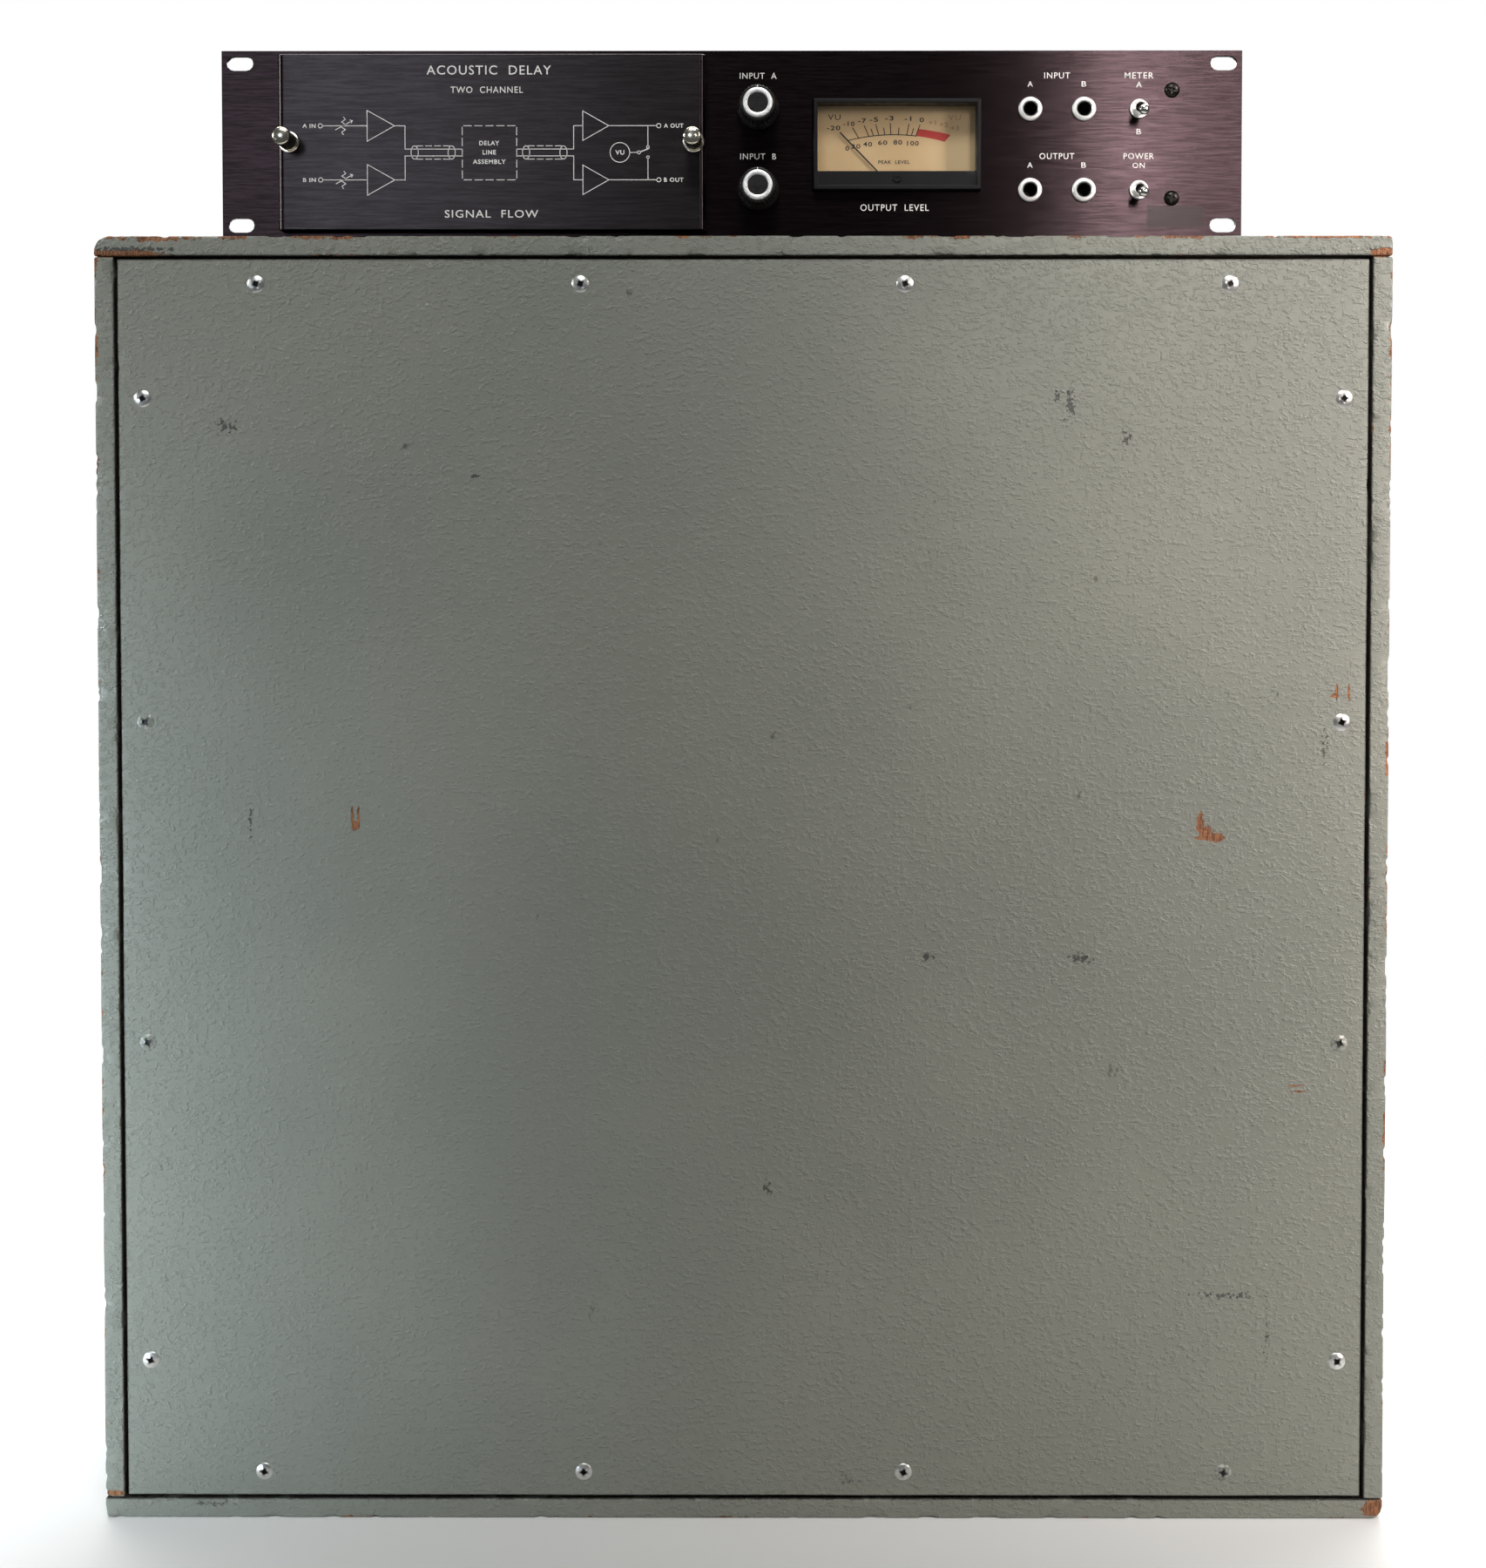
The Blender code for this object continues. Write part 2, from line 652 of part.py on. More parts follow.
def access_cover(rack):
    """A sheet with its left and right sides bent back to the panel, held by thumbscrews."""
    face, back = -COVER_STAND, -GAP
    outline = []
    for bend, sheet in ((COVER_BEND, 0.0), (COVER_BEND - COVER_SHEET, COVER_SHEET)):
        left, right, front = COVER_LEFT + sheet, COVER_RIGHT - sheet, face + sheet
        side = [(left, back)]
        for i in range(5):
            angle = pi / 2 * i / 4
            side.append((left + bend * (1 - cos(angle)), front + bend * (1 - sin(angle))))
        for i in range(5):
            angle = pi / 2 * (4 - i) / 4
            side.append((right - bend * (1 - cos(angle)), front + bend * (1 - sin(angle))))
        side.append((right, back))
        outline += side if sheet == 0 else side[::-1]
    reach = PANEL_HEIGHT / 2 - COVER_REVEAL
    item = extruded("cover", outline, -reach, reach)
    holes = [rod(THUMBSCREW_SHANK_D + 2 * SCREW_CLEARANCE, 2 * face, face + 2 * COVER_SHEET, x, 0, 10)
             for x in thumbscrew_places().values()]
    node("access_cover", cut(item, *holes), cover_anodising(), rack)

    collar, head, shank = THUMBSCREW_COLLAR_D / 2, THUMBSCREW_HEAD_D / 2, THUMBSCREW_SHANK_D / 2
    seat = face - GAP
    rim = seat - 0.0012
    neck = rim - 0.0010
    tip = neck - THUMBSCREW_HEAD_LENGTH + 0.0012
    end = PANEL_THICKNESS + 2 * CHASSIS_SHEET
    for name, x in thumbscrew_places().items():
        screw = turned(name, [(0, tip), (head * 0.85, tip), (head, tip + 0.0008),
                              (head, neck), (shank * 1.3, neck), (shank * 1.3, rim),
                              (collar, rim), (collar, seat), (shank, seat), (shank, end),
                              (0, end)])
        node(name, screw, bright_nickel(), rack, (x, 0, 0))


# --------------------------------------------------------------- controls

def level_control(letter, z, rack):
    """A fluted knob with a bright inlay, its shaft and the potentiometer that it turns."""
    shaft = SHAFT_D / 2
    base = -KNOB_OFF_PANEL
    top = base - KNOB_HEIGHT
    cap, skirt = KNOB_CAP_D / 2, KNOB_D / 2
    throat = BUSHING_D / 2 + 0.001
    recess = -BUSHING_PROUD - 0.001
    shaft_end = top + 0.0030
    ring_out, ring_in = RING_OUTER_D / 2 + GAP, RING_INNER_D / 2 - GAP
    bed = top + RING_DEPTH + GAP
    knob = turned("knob", [(0, top), (ring_in, top), (ring_in, bed), (ring_out, bed),
                           (ring_out, top), (cap - 0.0005, top), (cap, top + 0.0005),
                           (cap + 0.0004, base - 0.0045), (skirt, base - 0.0030), (skirt, base),
                           (throat, base), (throat, recess), (shaft + GAP, recess),
                           (shaft + GAP, shaft_end - GAP), (0, shaft_end - GAP)], sides=20)
    place = (KNOB_X, 0, z)
    name = "input_" + letter
    node(name + "_knob", knob, black_plastic(), rack, place)

    ring = turned("ring", [(RING_INNER_D / 2, top), (RING_OUTER_D / 2, top),
                           (RING_OUTER_D / 2, top + RING_DEPTH),
                           (RING_INNER_D / 2, top + RING_DEPTH)], sides=20)
    node(name + "_knob_ring", ring, bright_nickel(), rack, place)

    body_front = PANEL_THICKNESS + GAP
    body_back = body_front + POT_DEPTH
    bore_end = body_back - 0.003
    node(name + "_shaft", rod(SHAFT_D, shaft_end, bore_end - RUNNING_CLEARANCE, sides=12),
         bright_nickel(), rack, place)

    bore = shaft + RUNNING_CLEARANCE
    pot = turned("pot", [(0, body_back), (POT_D / 2, body_back), (POT_D / 2, body_front),
                         (BUSHING_D / 2, body_front), (BUSHING_D / 2, -BUSHING_PROUD),
                         (bore, -BUSHING_PROUD), (bore, bore_end), (0, bore_end)], sides=14)
    node(name + "_potentiometer", pot, plated_sheet(), rack, place)


def jack(name, x, z, rack):
    """A quarter-inch socket: ring nut in front, threaded bushing through, body behind."""
    nut, bushing, bore = JACK_NUT_D / 2, JACK_BUSHING_D / 2, JACK_BORE_D / 2
    body = JACK_BODY_D / 2
    back = PANEL_THICKNESS + GAP
    end = back + JACK_DEPTH
    stop = end - 0.002
    lip = -JACK_NUT_H - 0.0005
    item = turned(name, [(0, end), (body, end), (body, back), (bushing, back), (bushing, -GAP),
                         (nut, -GAP), (nut, -JACK_NUT_H), (bushing, lip), (bore, lip),
                         (bore, stop), (0, stop)], sides=14)
    node(name, item, bright_nickel(), rack, (x, 0, z))


def toggle_switch(name, z, rack):
    """A miniature toggle: its body and bushing, and the lever that tilts in the bushing."""
    nut, bushing, bore = SWITCH_NUT_D / 2, SWITCH_BUSHING_D / 2, SWITCH_BORE_D / 2
    back = PANEL_THICKNESS + GAP
    lip = -SWITCH_BUSHING_PROUD
    stop = back + 0.004
    front = turned(name, [(0, back + 0.006), (bushing, back + 0.006), (bushing, -GAP),
                          (nut, -GAP), (nut, -SWITCH_NUT_H), (bushing, -SWITCH_NUT_H),
                          (bushing, lip), (bore, lip), (bore, stop), (0, stop)], sides=12)
    half, tall = SWITCH_BODY_WIDTH / 2, SWITCH_BODY_HEIGHT / 2
    body = block("body", (-half, half), (back + 0.005, back + SWITCH_BODY_DEPTH), (-tall, tall))
    shoulder = block("shoulder", (-half, half), (back, back + 0.0055), (-tall, tall))
    pit = rod(SWITCH_BORE_D, back - 0.001, stop)
    shoulder = cut(shoulder, pit)
    node(name, join(front, shoulder, body), bright_nickel(), rack, (SWITCH_X, 0, z))

    root, tip = LEVER_ROOT_D / 2, LEVER_TIP_D / 2
    lever = turned(name + "_lever", [(0, -LEVER_LENGTH), (tip * 0.75, -LEVER_LENGTH),
                                     (tip, -LEVER_LENGTH + 0.0010), (tip, -LEVER_LENGTH + 0.0035),
                                     (root * 1.15, -0.0045), (root, 0.0), (root, 0.0030),
                                     (0, 0.0030)], sides=10)
    node(name + "_lever", lever, bright_nickel(), rack, (SWITCH_X, LEVER_PIVOT_Y, z),
         turn_x=radians(LEVER_TILT))


# ------------------------------------------------------------------ meter

def meter(rack):
    """Case, dial, clear window, needle and zero-adjusting screw of the level meter."""
    half, tall = METER_WIDTH / 2, METER_HEIGHT / 2
    back = PANEL_THICKNESS + GAP
    end = back + METER_DEPTH
    front = block("front", (-half, half), (-METER_PROUD, back + METER_WALL), (-tall, tall))
    wide, high = half + METER_SKIRT, tall + METER_SKIRT
    housing = block("housing", (-wide, wide), (back, end), (-high, high))
    case = join(front, housing)
    mouth_w, mouth_h = half - METER_FRAME, tall - METER_FRAME
    room_w, room_h = wide - METER_WALL, high - METER_WALL
    cut(case, block("room", (-room_w, room_w), (back + METER_WALL, end - METER_WALL),
                    (-room_h, room_h)))
    cut(case, block("mouth", (-mouth_w, mouth_w), (-2 * METER_PROUD, back + 2 * METER_WALL),
                    (-mouth_h, mouth_h)))
    strip_y = -METER_PROUD + METER_STRIP_BACK
    strip_top = METER_STRIP_HEIGHT - mouth_h
    keyed = METER_FRAME / 2
    strip = block("strip", (-mouth_w - keyed, mouth_w + keyed), (strip_y, strip_y + METER_GLASS),
                  (-mouth_h - keyed, strip_top))
    place = (METER_X, 0, METER_Z)
    node("meter_case", join(case, strip), black_plastic(), rack, place)

    glass = block("glass", (-mouth_w + GAP, mouth_w - GAP), (strip_y, strip_y + METER_GLASS),
                  (strip_top + GAP, mouth_h - GAP))
    node("meter_window", glass, finish("clear_acrylic", (0.9, 0.9, 0.9), 0.05), rack, place)

    dial_y = back + METER_WALL + DIAL_BEHIND_WALL
    dial = block("dial", (-room_w + GAP, room_w - GAP), (dial_y, dial_y + DIAL_SHEET),
                 (-room_h + GAP, room_h - GAP))
    node("meter_dial", dial, finish("cream_dial", (0.72, 0.55, 0.33), 0.6), rack, place)

    needle_y = dial_y - NEEDLE_OFF_DIAL
    sheet = (-NEEDLE_SHEET / 2, NEEDLE_SHEET / 2)
    arm = NEEDLE_WIDTH / 2
    points = [(u, y, w) for y in sheet
              for u, w in ((-arm, 0), (arm, 0), (arm * 0.6, NEEDLE_LENGTH), (-arm * 0.6, NEEDLE_LENGTH))]
    faces = [(0, 1, 2, 3), (7, 6, 5, 4), (0, 4, 5, 1), (1, 5, 6, 2), (2, 6, 7, 3), (3, 7, 4, 0)]
    blade = link("blade", mesh_of(points, faces))
    hub = rod(NEEDLE_HUB_D, -NEEDLE_SHEET, NEEDLE_SHEET, sides=12)
    node("meter_needle", join(hub, blade), black_plastic(), rack,
         (METER_X, needle_y - NEEDLE_SHEET / 2, NEEDLE_PIVOT_Z), turn_y=radians(NEEDLE_REST))

    seat = strip_y - GAP
    screw = turned("zero", [(0, seat - ZERO_SCREW_H), (ZERO_SCREW_D * 0.42, seat - ZERO_SCREW_H),
                            (ZERO_SCREW_D / 2, seat - ZERO_SCREW_H / 2),
                            (ZERO_SCREW_D / 2, seat), (0, seat)], sides=12)
    node("meter_zero_screw", screw, black_plastic(), rack,
         (METER_X, 0, METER_Z - mouth_h + METER_STRIP_HEIGHT / 2))


# ---------------------------------------------------------- chassis parts

def board_with_parts(name, x, y, parts, rack):
    """A circuit board on four standoffs, with its larger components standing on it."""
    floor = -PANEL_HEIGHT / 2 + CHASSIS_SHEET + GAP
    under = floor + STANDOFF
    top = under + BOARD_SHEET
    board = block(name, x, y, (under, top))
    leg, inset = 0.006, 0.004
    pieces = []
    for i in (x[0] + inset, x[1] - inset - leg):
        for j in (y[0] + inset, y[1] - inset - leg):
            pieces.append(block("leg", (i, i + leg), (j, j + leg), (floor, under + BOARD_SHEET / 2)))
    for px, py, width, depth, height in parts:
        pieces.append(block("part", (x[0] + px, x[0] + px + width), (y[0] + py, y[0] + py + depth),
                            (top - BOARD_SHEET / 2, top + height)))
    node(name, join(board, *pieces), circuit_board(), rack)


def inner_parts(rack):
    """Mains transformer, supply board and the two amplifier boards."""
    floor = -PANEL_HEIGHT / 2 + CHASSIS_SHEET + GAP
    core = block("core", (0.135, 0.193), (0.100, 0.132), (floor, floor + 0.048))
    coil = block("coil", (0.145, 0.183), (0.088, 0.144), (floor + 0.010, floor + 0.038))
    node("mains_transformer", join(core, coil), finish("lamination", (0.12, 0.11, 0.10), 0.5, 0.5),
         rack)
    reservoirs = [(0.014, 0.012, 0.022, 0.022, 0.034), (0.044, 0.012, 0.022, 0.022, 0.034),
                  (0.016, 0.050, 0.012, 0.020, 0.012)]
    board_with_parts("supply_board", (0.020, 0.105), (0.110, 0.195), reservoirs, rack)
    channel = [(0.016, 0.016, 0.024, 0.024, 0.030), (0.104, 0.016, 0.024, 0.024, 0.030),
               (0.052, 0.030, 0.016, 0.010, 0.008), (0.080, 0.030, 0.016, 0.010, 0.008)]
    board_with_parts("drive_amplifier_board", (-0.190, -0.040), (0.030, 0.100), channel, rack)
    board_with_parts("recovery_amplifier_board", (-0.190, -0.040), (0.110, 0.180), channel, rack)


def rear_parts(rack):
    """Delay-line socket, fuse holder with its cap and mains cord gland."""
    rear = chassis_rear_y()
    rear_socket("line_socket", rear, LINE_SOCKET_X, REAR_ROW_Z, rack)
    seat = rear + GAP
    shell, flange = FUSE_D / 2, FUSE_FLANGE_D / 2
    lip = seat + 0.002
    holder = turned("holder", [(0, rear - FUSE_BEHIND), (shell, rear - FUSE_BEHIND),
                               (shell, seat), (flange, seat), (flange, lip), (0, lip)], sides=14)
    place = (FUSE_X, 0, REAR_ROW_Z)
    node("fuse_holder", holder, black_plastic(), rack, place)
    cap = turned("cap", [(0, lip + GAP), (shell, lip + GAP), (shell, lip + FUSE_CAP_LENGTH - 0.001),
                         (shell - 0.001, lip + FUSE_CAP_LENGTH), (0, lip + FUSE_CAP_LENGTH)],
                 sides=14)
    node("fuse_cap", cap, black_plastic(), rack, place)

    grip, hole = GLAND_D / 2, GLAND_BORE_D / 2
    gland = turned("gland", [(hole, rear - 0.012), (grip, rear - 0.012), (grip, seat),
                             (flange, seat), (flange, seat + 0.004), (grip, seat + 0.012),
                             (hole, seat + 0.012)], sides=14)
    node("mains_cord_gland", gland, black_plastic(), rack, (GLAND_X, 0, REAR_ROW_Z))


# --------------------------------------------------------------- assembly

def clear_scene():
    for item in list(bpy.data.objects):
        bpy.data.objects.remove(item, do_unlink=True)


def build():
    clear_scene()
    cabinet_shell()
    cleats()
    rear_socket("cabinet_socket", CABINET_DEPTH / 2, 0, CABINET_SOCKET_Z)
    delay_lines()

    rack = bpy.data.objects.new("rack_unit", None)
    bpy.context.scene.collection.objects.link(rack)
    rack.location = (PANEL_X, cabinet_front_y() + PANEL_SETBACK,
                     CABINET_HEIGHT + GAP + PANEL_HEIGHT / 2)
    rack_panel(rack)
    chassis(rack)
    panel_screws(rack)
    access_cover(rack)
    for letter, z in (("a", UPPER_ROW_Z), ("b", LOWER_ROW_Z)):
        level_control(letter, z, rack)
    for letter, x in zip("ab", JACK_X):
        jack("input_jack_" + letter, x, UPPER_ROW_Z, rack)
        jack("output_jack_" + letter, x, LOWER_ROW_Z, rack)
    toggle_switch("meter_switch", UPPER_ROW_Z, rack)
    toggle_switch("power_switch", LOWER_ROW_Z, rack)
    meter(rack)
    inner_parts(rack)
    rear_parts(rack)


build()
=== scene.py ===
"""Looks of a two-channel acoustic audio delay: a rack panel on its plywood delay-line cabinet."""

from math import cos, pi, radians, sin

import bmesh
import bpy
import numpy as np
from mathutils import Matrix, Vector, noise


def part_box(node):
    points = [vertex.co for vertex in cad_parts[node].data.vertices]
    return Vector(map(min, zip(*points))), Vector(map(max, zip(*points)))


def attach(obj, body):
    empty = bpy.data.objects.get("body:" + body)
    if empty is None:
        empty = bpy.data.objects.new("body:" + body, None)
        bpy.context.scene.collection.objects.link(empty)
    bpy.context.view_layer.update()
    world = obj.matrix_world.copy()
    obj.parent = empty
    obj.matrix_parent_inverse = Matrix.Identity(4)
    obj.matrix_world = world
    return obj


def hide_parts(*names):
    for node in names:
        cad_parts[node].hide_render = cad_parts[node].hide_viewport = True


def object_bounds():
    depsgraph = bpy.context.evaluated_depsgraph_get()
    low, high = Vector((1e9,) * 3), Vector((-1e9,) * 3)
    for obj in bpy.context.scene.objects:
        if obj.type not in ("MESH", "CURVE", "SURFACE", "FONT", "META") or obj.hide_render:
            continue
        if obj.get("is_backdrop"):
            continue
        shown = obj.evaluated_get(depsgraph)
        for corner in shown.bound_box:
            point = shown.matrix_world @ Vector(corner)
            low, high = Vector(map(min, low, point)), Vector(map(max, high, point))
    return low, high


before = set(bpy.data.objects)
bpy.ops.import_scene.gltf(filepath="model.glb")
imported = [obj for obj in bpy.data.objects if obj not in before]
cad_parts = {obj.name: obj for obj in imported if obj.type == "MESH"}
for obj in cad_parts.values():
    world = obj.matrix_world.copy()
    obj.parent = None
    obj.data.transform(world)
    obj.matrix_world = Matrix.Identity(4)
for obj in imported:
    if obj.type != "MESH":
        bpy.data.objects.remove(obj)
cad_low, cad_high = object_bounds()

# ---------------------------------------------------------------- the table it stands on
# A pale floor that fades into a white surround. A warm softbox stands on the right and a cooler
# one low on the left, three strips in front glow on the anodised panel, and the rest light the
# cabinet's front, its top, the cover's left bend and the back.


def put(tree, kind, inputs=None, **settings):
    """Add a node. Inputs are values or other nodes' outputs, by socket name or number."""
    made = tree.nodes.new(kind)
    for name, value in settings.items():
        setattr(made, name, value)
    for key, value in (inputs or {}).items():
        if isinstance(value, bpy.types.NodeSocket):
            tree.links.new(value, made.inputs[key])
        else:
            made.inputs[key].default_value = value
    return made


def new_finish(name, colour, roughness, metallic=0.0, **plain):
    """A material, its tree and its Principled shader."""
    material = bpy.data.materials.new(name)
    material.use_nodes = True
    shader = material.node_tree.nodes["Principled BSDF"]
    shader.inputs["Base Color"].default_value = (*colour, 1.0)
    shader.inputs["Roughness"].default_value = roughness
    shader.inputs["Metallic"].default_value = metallic
    for word, value in plain.items():
        shader.inputs[word.replace("_", " ")].default_value = value
    return material, material.node_tree, shader


def place_new(name, data):
    """A new object in the scene."""
    item = bpy.data.objects.new(name, data)
    bpy.context.scene.collection.objects.link(item)
    return item


def softbox(name, place, aim, size, power, colour, spread=180):
    lamp = bpy.data.lights.new(name, "AREA")
    lamp.shape = "RECTANGLE"
    lamp.size, lamp.size_y = size
    lamp.energy = power
    lamp.color = colour
    lamp.spread = radians(spread)
    item = place_new(name, lamp)
    item.location = place
    item.rotation_euler = (Vector(aim) - Vector(place)).to_track_quat("-Z", "Y").to_euler()
    item.visible_camera = False


softbox("right_softbox", (1.00, -0.72, 0.85), (0.68, -0.13, 0.62), (0.4, 0.8), 7.4,
        (1.0, 0.90, 0.86), 60)
softbox("left_softbox", (-1.00, -0.72, 0.15), (-0.60, -0.13, 0.10), (0.4, 0.7), 3.8,
        (0.75, 0.89, 1.0), 39)
softbox("right_strip", (0.42, -1.75, 0.98), (0.19, -0.12, 0.69), (0.05, 0.5), 0.072,
        (1.0, 0.94, 0.93), 18)
softbox("corner_strip", (0.55, -1.75, 0.98), (0.23, -0.12, 0.69), (0.13, 0.5), 0.048,
        (1.0, 0.90, 0.88), 18)
softbox("left_strip", (-0.54, -1.75, 0.98), (-0.19, -0.12, 0.72), (0.66, 0.5), 0.068,
        (0.80, 0.88, 1.0), 17)
softbox("front_fill", (0.0, -1.60, 2.40), (0.0, -0.12, 0.30), (1.2, 0.6), 30.0, (1.0, 1.0, 0.97))
softbox("overhead", (0.0, 0.75, 2.30), (0.0, 0.10, 0.0), (2.4, 1.4), 80.0, (1.0, 0.99, 0.97))
softbox("edge_light", (-1.15, -0.38, 0.84), (-0.22, -0.12, 0.67), (0.25, 0.4), 0.18,
        (1.0, 0.98, 0.95), 22)
softbox("rear_softbox", (0.40, 1.80, 1.30), (0.0, 0.13, 0.35), (1.4, 1.0), 22.0, (1.0, 0.99, 0.97))

world = bpy.data.worlds.new("studio")
bpy.context.scene.world = world
world.use_nodes = True
tree = world.node_tree
tree.nodes.clear()
dim = put(tree, "ShaderNodeBackground", {"Color": (0.92, 0.96, 1.0, 1.0), "Strength": 0.095})
white = put(tree, "ShaderNodeBackground", {"Color": (1.0, 1.0, 1.0, 1.0), "Strength": 1.0})
seen = put(tree, "ShaderNodeLightPath")
surround = put(tree, "ShaderNodeMixShader",
               {0: seen.outputs["Is Camera Ray"], 1: dim.outputs[0], 2: white.outputs[0]})
put(tree, "ShaderNodeOutputWorld", {"Surface": surround.outputs[0]})

FLOOR_RADIUS = 1.4
FLOOR_SOLID = 0.42           # fades from here
FLOOR_GONE = 0.95
floor_mesh = bpy.data.meshes.new("floor")
shape = bmesh.new()
bmesh.ops.create_circle(shape, cap_ends=True, segments=96, radius=FLOOR_RADIUS)
shape.to_mesh(floor_mesh)
shape.free()
floor = place_new("floor", floor_mesh)
floor_paint, tree, floor_shader = new_finish("pale_floor", (0.93, 0.93, 0.93), 0.75)
away = put(tree, "ShaderNodeVectorMath",
           {0: put(tree, "ShaderNodeTexCoord").outputs["Object"]}, operation="LENGTH")
fade = put(tree, "ShaderNodeMapRange", {"Value": away.outputs["Value"], "From Min": FLOOR_SOLID,
                                        "From Max": FLOOR_GONE}, interpolation_type="SMOOTHSTEP")
clear = put(tree, "ShaderNodeBsdfTransparent")
blend = put(tree, "ShaderNodeMixShader",
            {0: fade.outputs[0], 1: floor_shader.outputs[0], 2: clear.outputs[0]})
tree.links.new(blend.outputs[0], tree.nodes["Material Output"].inputs["Surface"])
floor_mesh.materials.append(floor_paint)
floor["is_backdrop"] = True

camera = place_new("camera", bpy.data.cameras.new("camera"))
camera.location = (0.0237, -1.2241, 0.4766)
camera.rotation_euler = (radians(88.12), 0, radians(0.194))
camera.data.lens = 53.5
camera.data.shift_x = -0.027
camera.data.shift_y = -0.120
bpy.context.scene.camera = camera
bpy.context.scene.view_settings.view_transform = "Standard"

# ---------------------------------------------------------------- cabinet boards
# Four outer boards of thin plywood, glued and nailed at the corners, with the front and back
# boards let in between them. All were rolled with grey-green enamel, which has chipped back to
# reddish wood along the edges and wherever something hit it.

INK_DEPTH = 0.00006          # printed lines stand this far off their face


def new_group(name, inputs, outputs):
    """An empty shader effect with named sockets, and its input and output nodes."""
    group = bpy.data.node_groups.new(name, "ShaderNodeTree")
    for word, kind, value in inputs:
        socket = group.interface.new_socket(word, in_out="INPUT", socket_type="NodeSocket" + kind)
        socket.default_value = value
    for word, kind in outputs:
        group.interface.new_socket(word, in_out="OUTPUT", socket_type="NodeSocket" + kind)
    return group, put(group, "NodeGroupInput").outputs, put(group, "NodeGroupOutput").inputs


def effect(tree, group, **values):
    """Place a shader effect in a material. A socket's name has _ for a space."""
    made = put(tree, "ShaderNodeGroup", node_tree=group)
    for word, value in values.items():
        socket = made.inputs[word.replace("_", " ")]
        if isinstance(value, bpy.types.NodeSocket):
            tree.links.new(value, socket)
        else:
            socket.default_value = value
    return made.outputs


def blend_colour(tree, mask, low, high):
    """low where the mask is 0 and high where it is 1."""
    mix = put(tree, "ShaderNodeMix", {0: mask, 6: low, 7: high}, data_type="RGBA")
    return mix.outputs[2]


def sums(tree, operation, one, two=0.0, three=0.0):
    """One Math node's result."""
    made = put(tree, "ShaderNodeMath", {0: one, 1: two, 2: three}, operation=operation)
    return made.outputs[0]


def ramp(tree, value, low, high, to_low=0.0, to_high=1.0):
    """A smooth step of the value between low and high."""
    made = put(tree, "ShaderNodeMapRange",
               {"Value": value, "From Min": low, "From Max": high,
                "To Min": to_low, "To Max": to_high}, interpolation_type="SMOOTHSTEP")
    return made.outputs[0]


def object_place(tree):
    return put(tree, "ShaderNodeTexCoord").outputs["Object"]


def attribute(tree, name):
    return put(tree, "ShaderNodeAttribute", attribute_name=name).outputs["Fac"]


def vectors(tree, operation, one, two=(0.0, 0.0, 0.0)):
    """One Vector Math node's result."""
    return put(tree, "ShaderNodeVectorMath", {0: one, 1: two}, operation=operation).outputs[0]


def length_of(tree, vector):
    return put(tree, "ShaderNodeVectorMath", {0: vector}, operation="LENGTH").outputs["Value"]


def noise_on(tree, vector, scale, detail, **more):
    """Noise on a vector, scale in waves a metre."""
    given = {"Vector": vector, "Scale": scale, "Detail": detail, **more}
    return put(tree, "ShaderNodeTexNoise", given).outputs["Fac"]


def noise_at(tree, scale, detail=3.0, stretch=None, rough=0.5, moved=None):
    """Noise on Object coordinates, scale in waves a metre, stretched by the given vector."""
    place = object_place(tree)
    if stretch is not None or moved is not None:
        place = put(tree, "ShaderNodeMapping", {"Vector": place, "Scale": stretch or (1, 1, 1),
                                                "Location": moved or (0, 0, 0)}).outputs[0]
    return noise_on(tree, place, scale, detail, Roughness=rough)


def bump(tree, shader, height, distance, strength=1.0):
    made = put(tree, "ShaderNodeBump", {"Height": height, "Distance": distance,
                                        "Strength": strength})
    tree.links.new(made.outputs[0], shader.inputs["Normal"])


def feed(tree, shader, **links):
    for word, socket in links.items():
        tree.links.new(socket, shader.inputs[word.replace("_", " ")])


# wood grain, for bare patches, cleats and the coil former
wood_grain, given, made = new_group(
    "wood_grain", [("Stretch", "Vector", (1.0, 1.0, 1.0)), ("Scale", "Float", 60.0)],
    [("Shade", "Float"), ("Height", "Float")])
place = object_place(wood_grain)
along = vectors(wood_grain, "MULTIPLY", place, given["Stretch"])
broad = noise_on(wood_grain, along, given["Scale"], 4.0, Distortion=0.6)
fine = noise_on(wood_grain, along, sums(wood_grain, "MULTIPLY", given["Scale"], 7.0), 2.0)
rings = sums(wood_grain, "SINE", sums(wood_grain, "MULTIPLY", broad, 46.0))
shade = sums(wood_grain, "MULTIPLY_ADD", rings, 0.28, sums(wood_grain, "MULTIPLY", fine, 0.9))
wood_grain.links.new(shade, made["Shade"])
wood_grain.links.new(fine, made["Height"])

# one ragged patch at a place on an upright face, for chips, scuffs and stains
patch, given, made = new_group(
    "patch", [("Centre", "Vector", (0.0, 0.0, 0.0)), ("Half", "Vector", (0.005, 1.0, 0.005)),
              ("Ragged", "Float", 0.5), ("Grain", "Float", 400.0),
              ("Sparse", "Float", 0.0)], [("Mask", "Float")])
place = object_place(patch)
off = vectors(patch, "SUBTRACT", place, given["Centre"])
far = length_of(patch, vectors(patch, "DIVIDE", off, given["Half"]))
torn = noise_on(patch, place, given["Grain"], 3.0, Roughness=0.6)
torn = sums(patch, "MULTIPLY", sums(patch, "SUBTRACT", torn, 0.5), given["Ragged"])
edge = sums(patch, "MULTIPLY_ADD", torn, 4.0, sums(patch, "ADD", far, given["Sparse"]))
patch.links.new(ramp(patch, edge, 0.9, 1.1, 1.0, 0.0), made["Mask"])

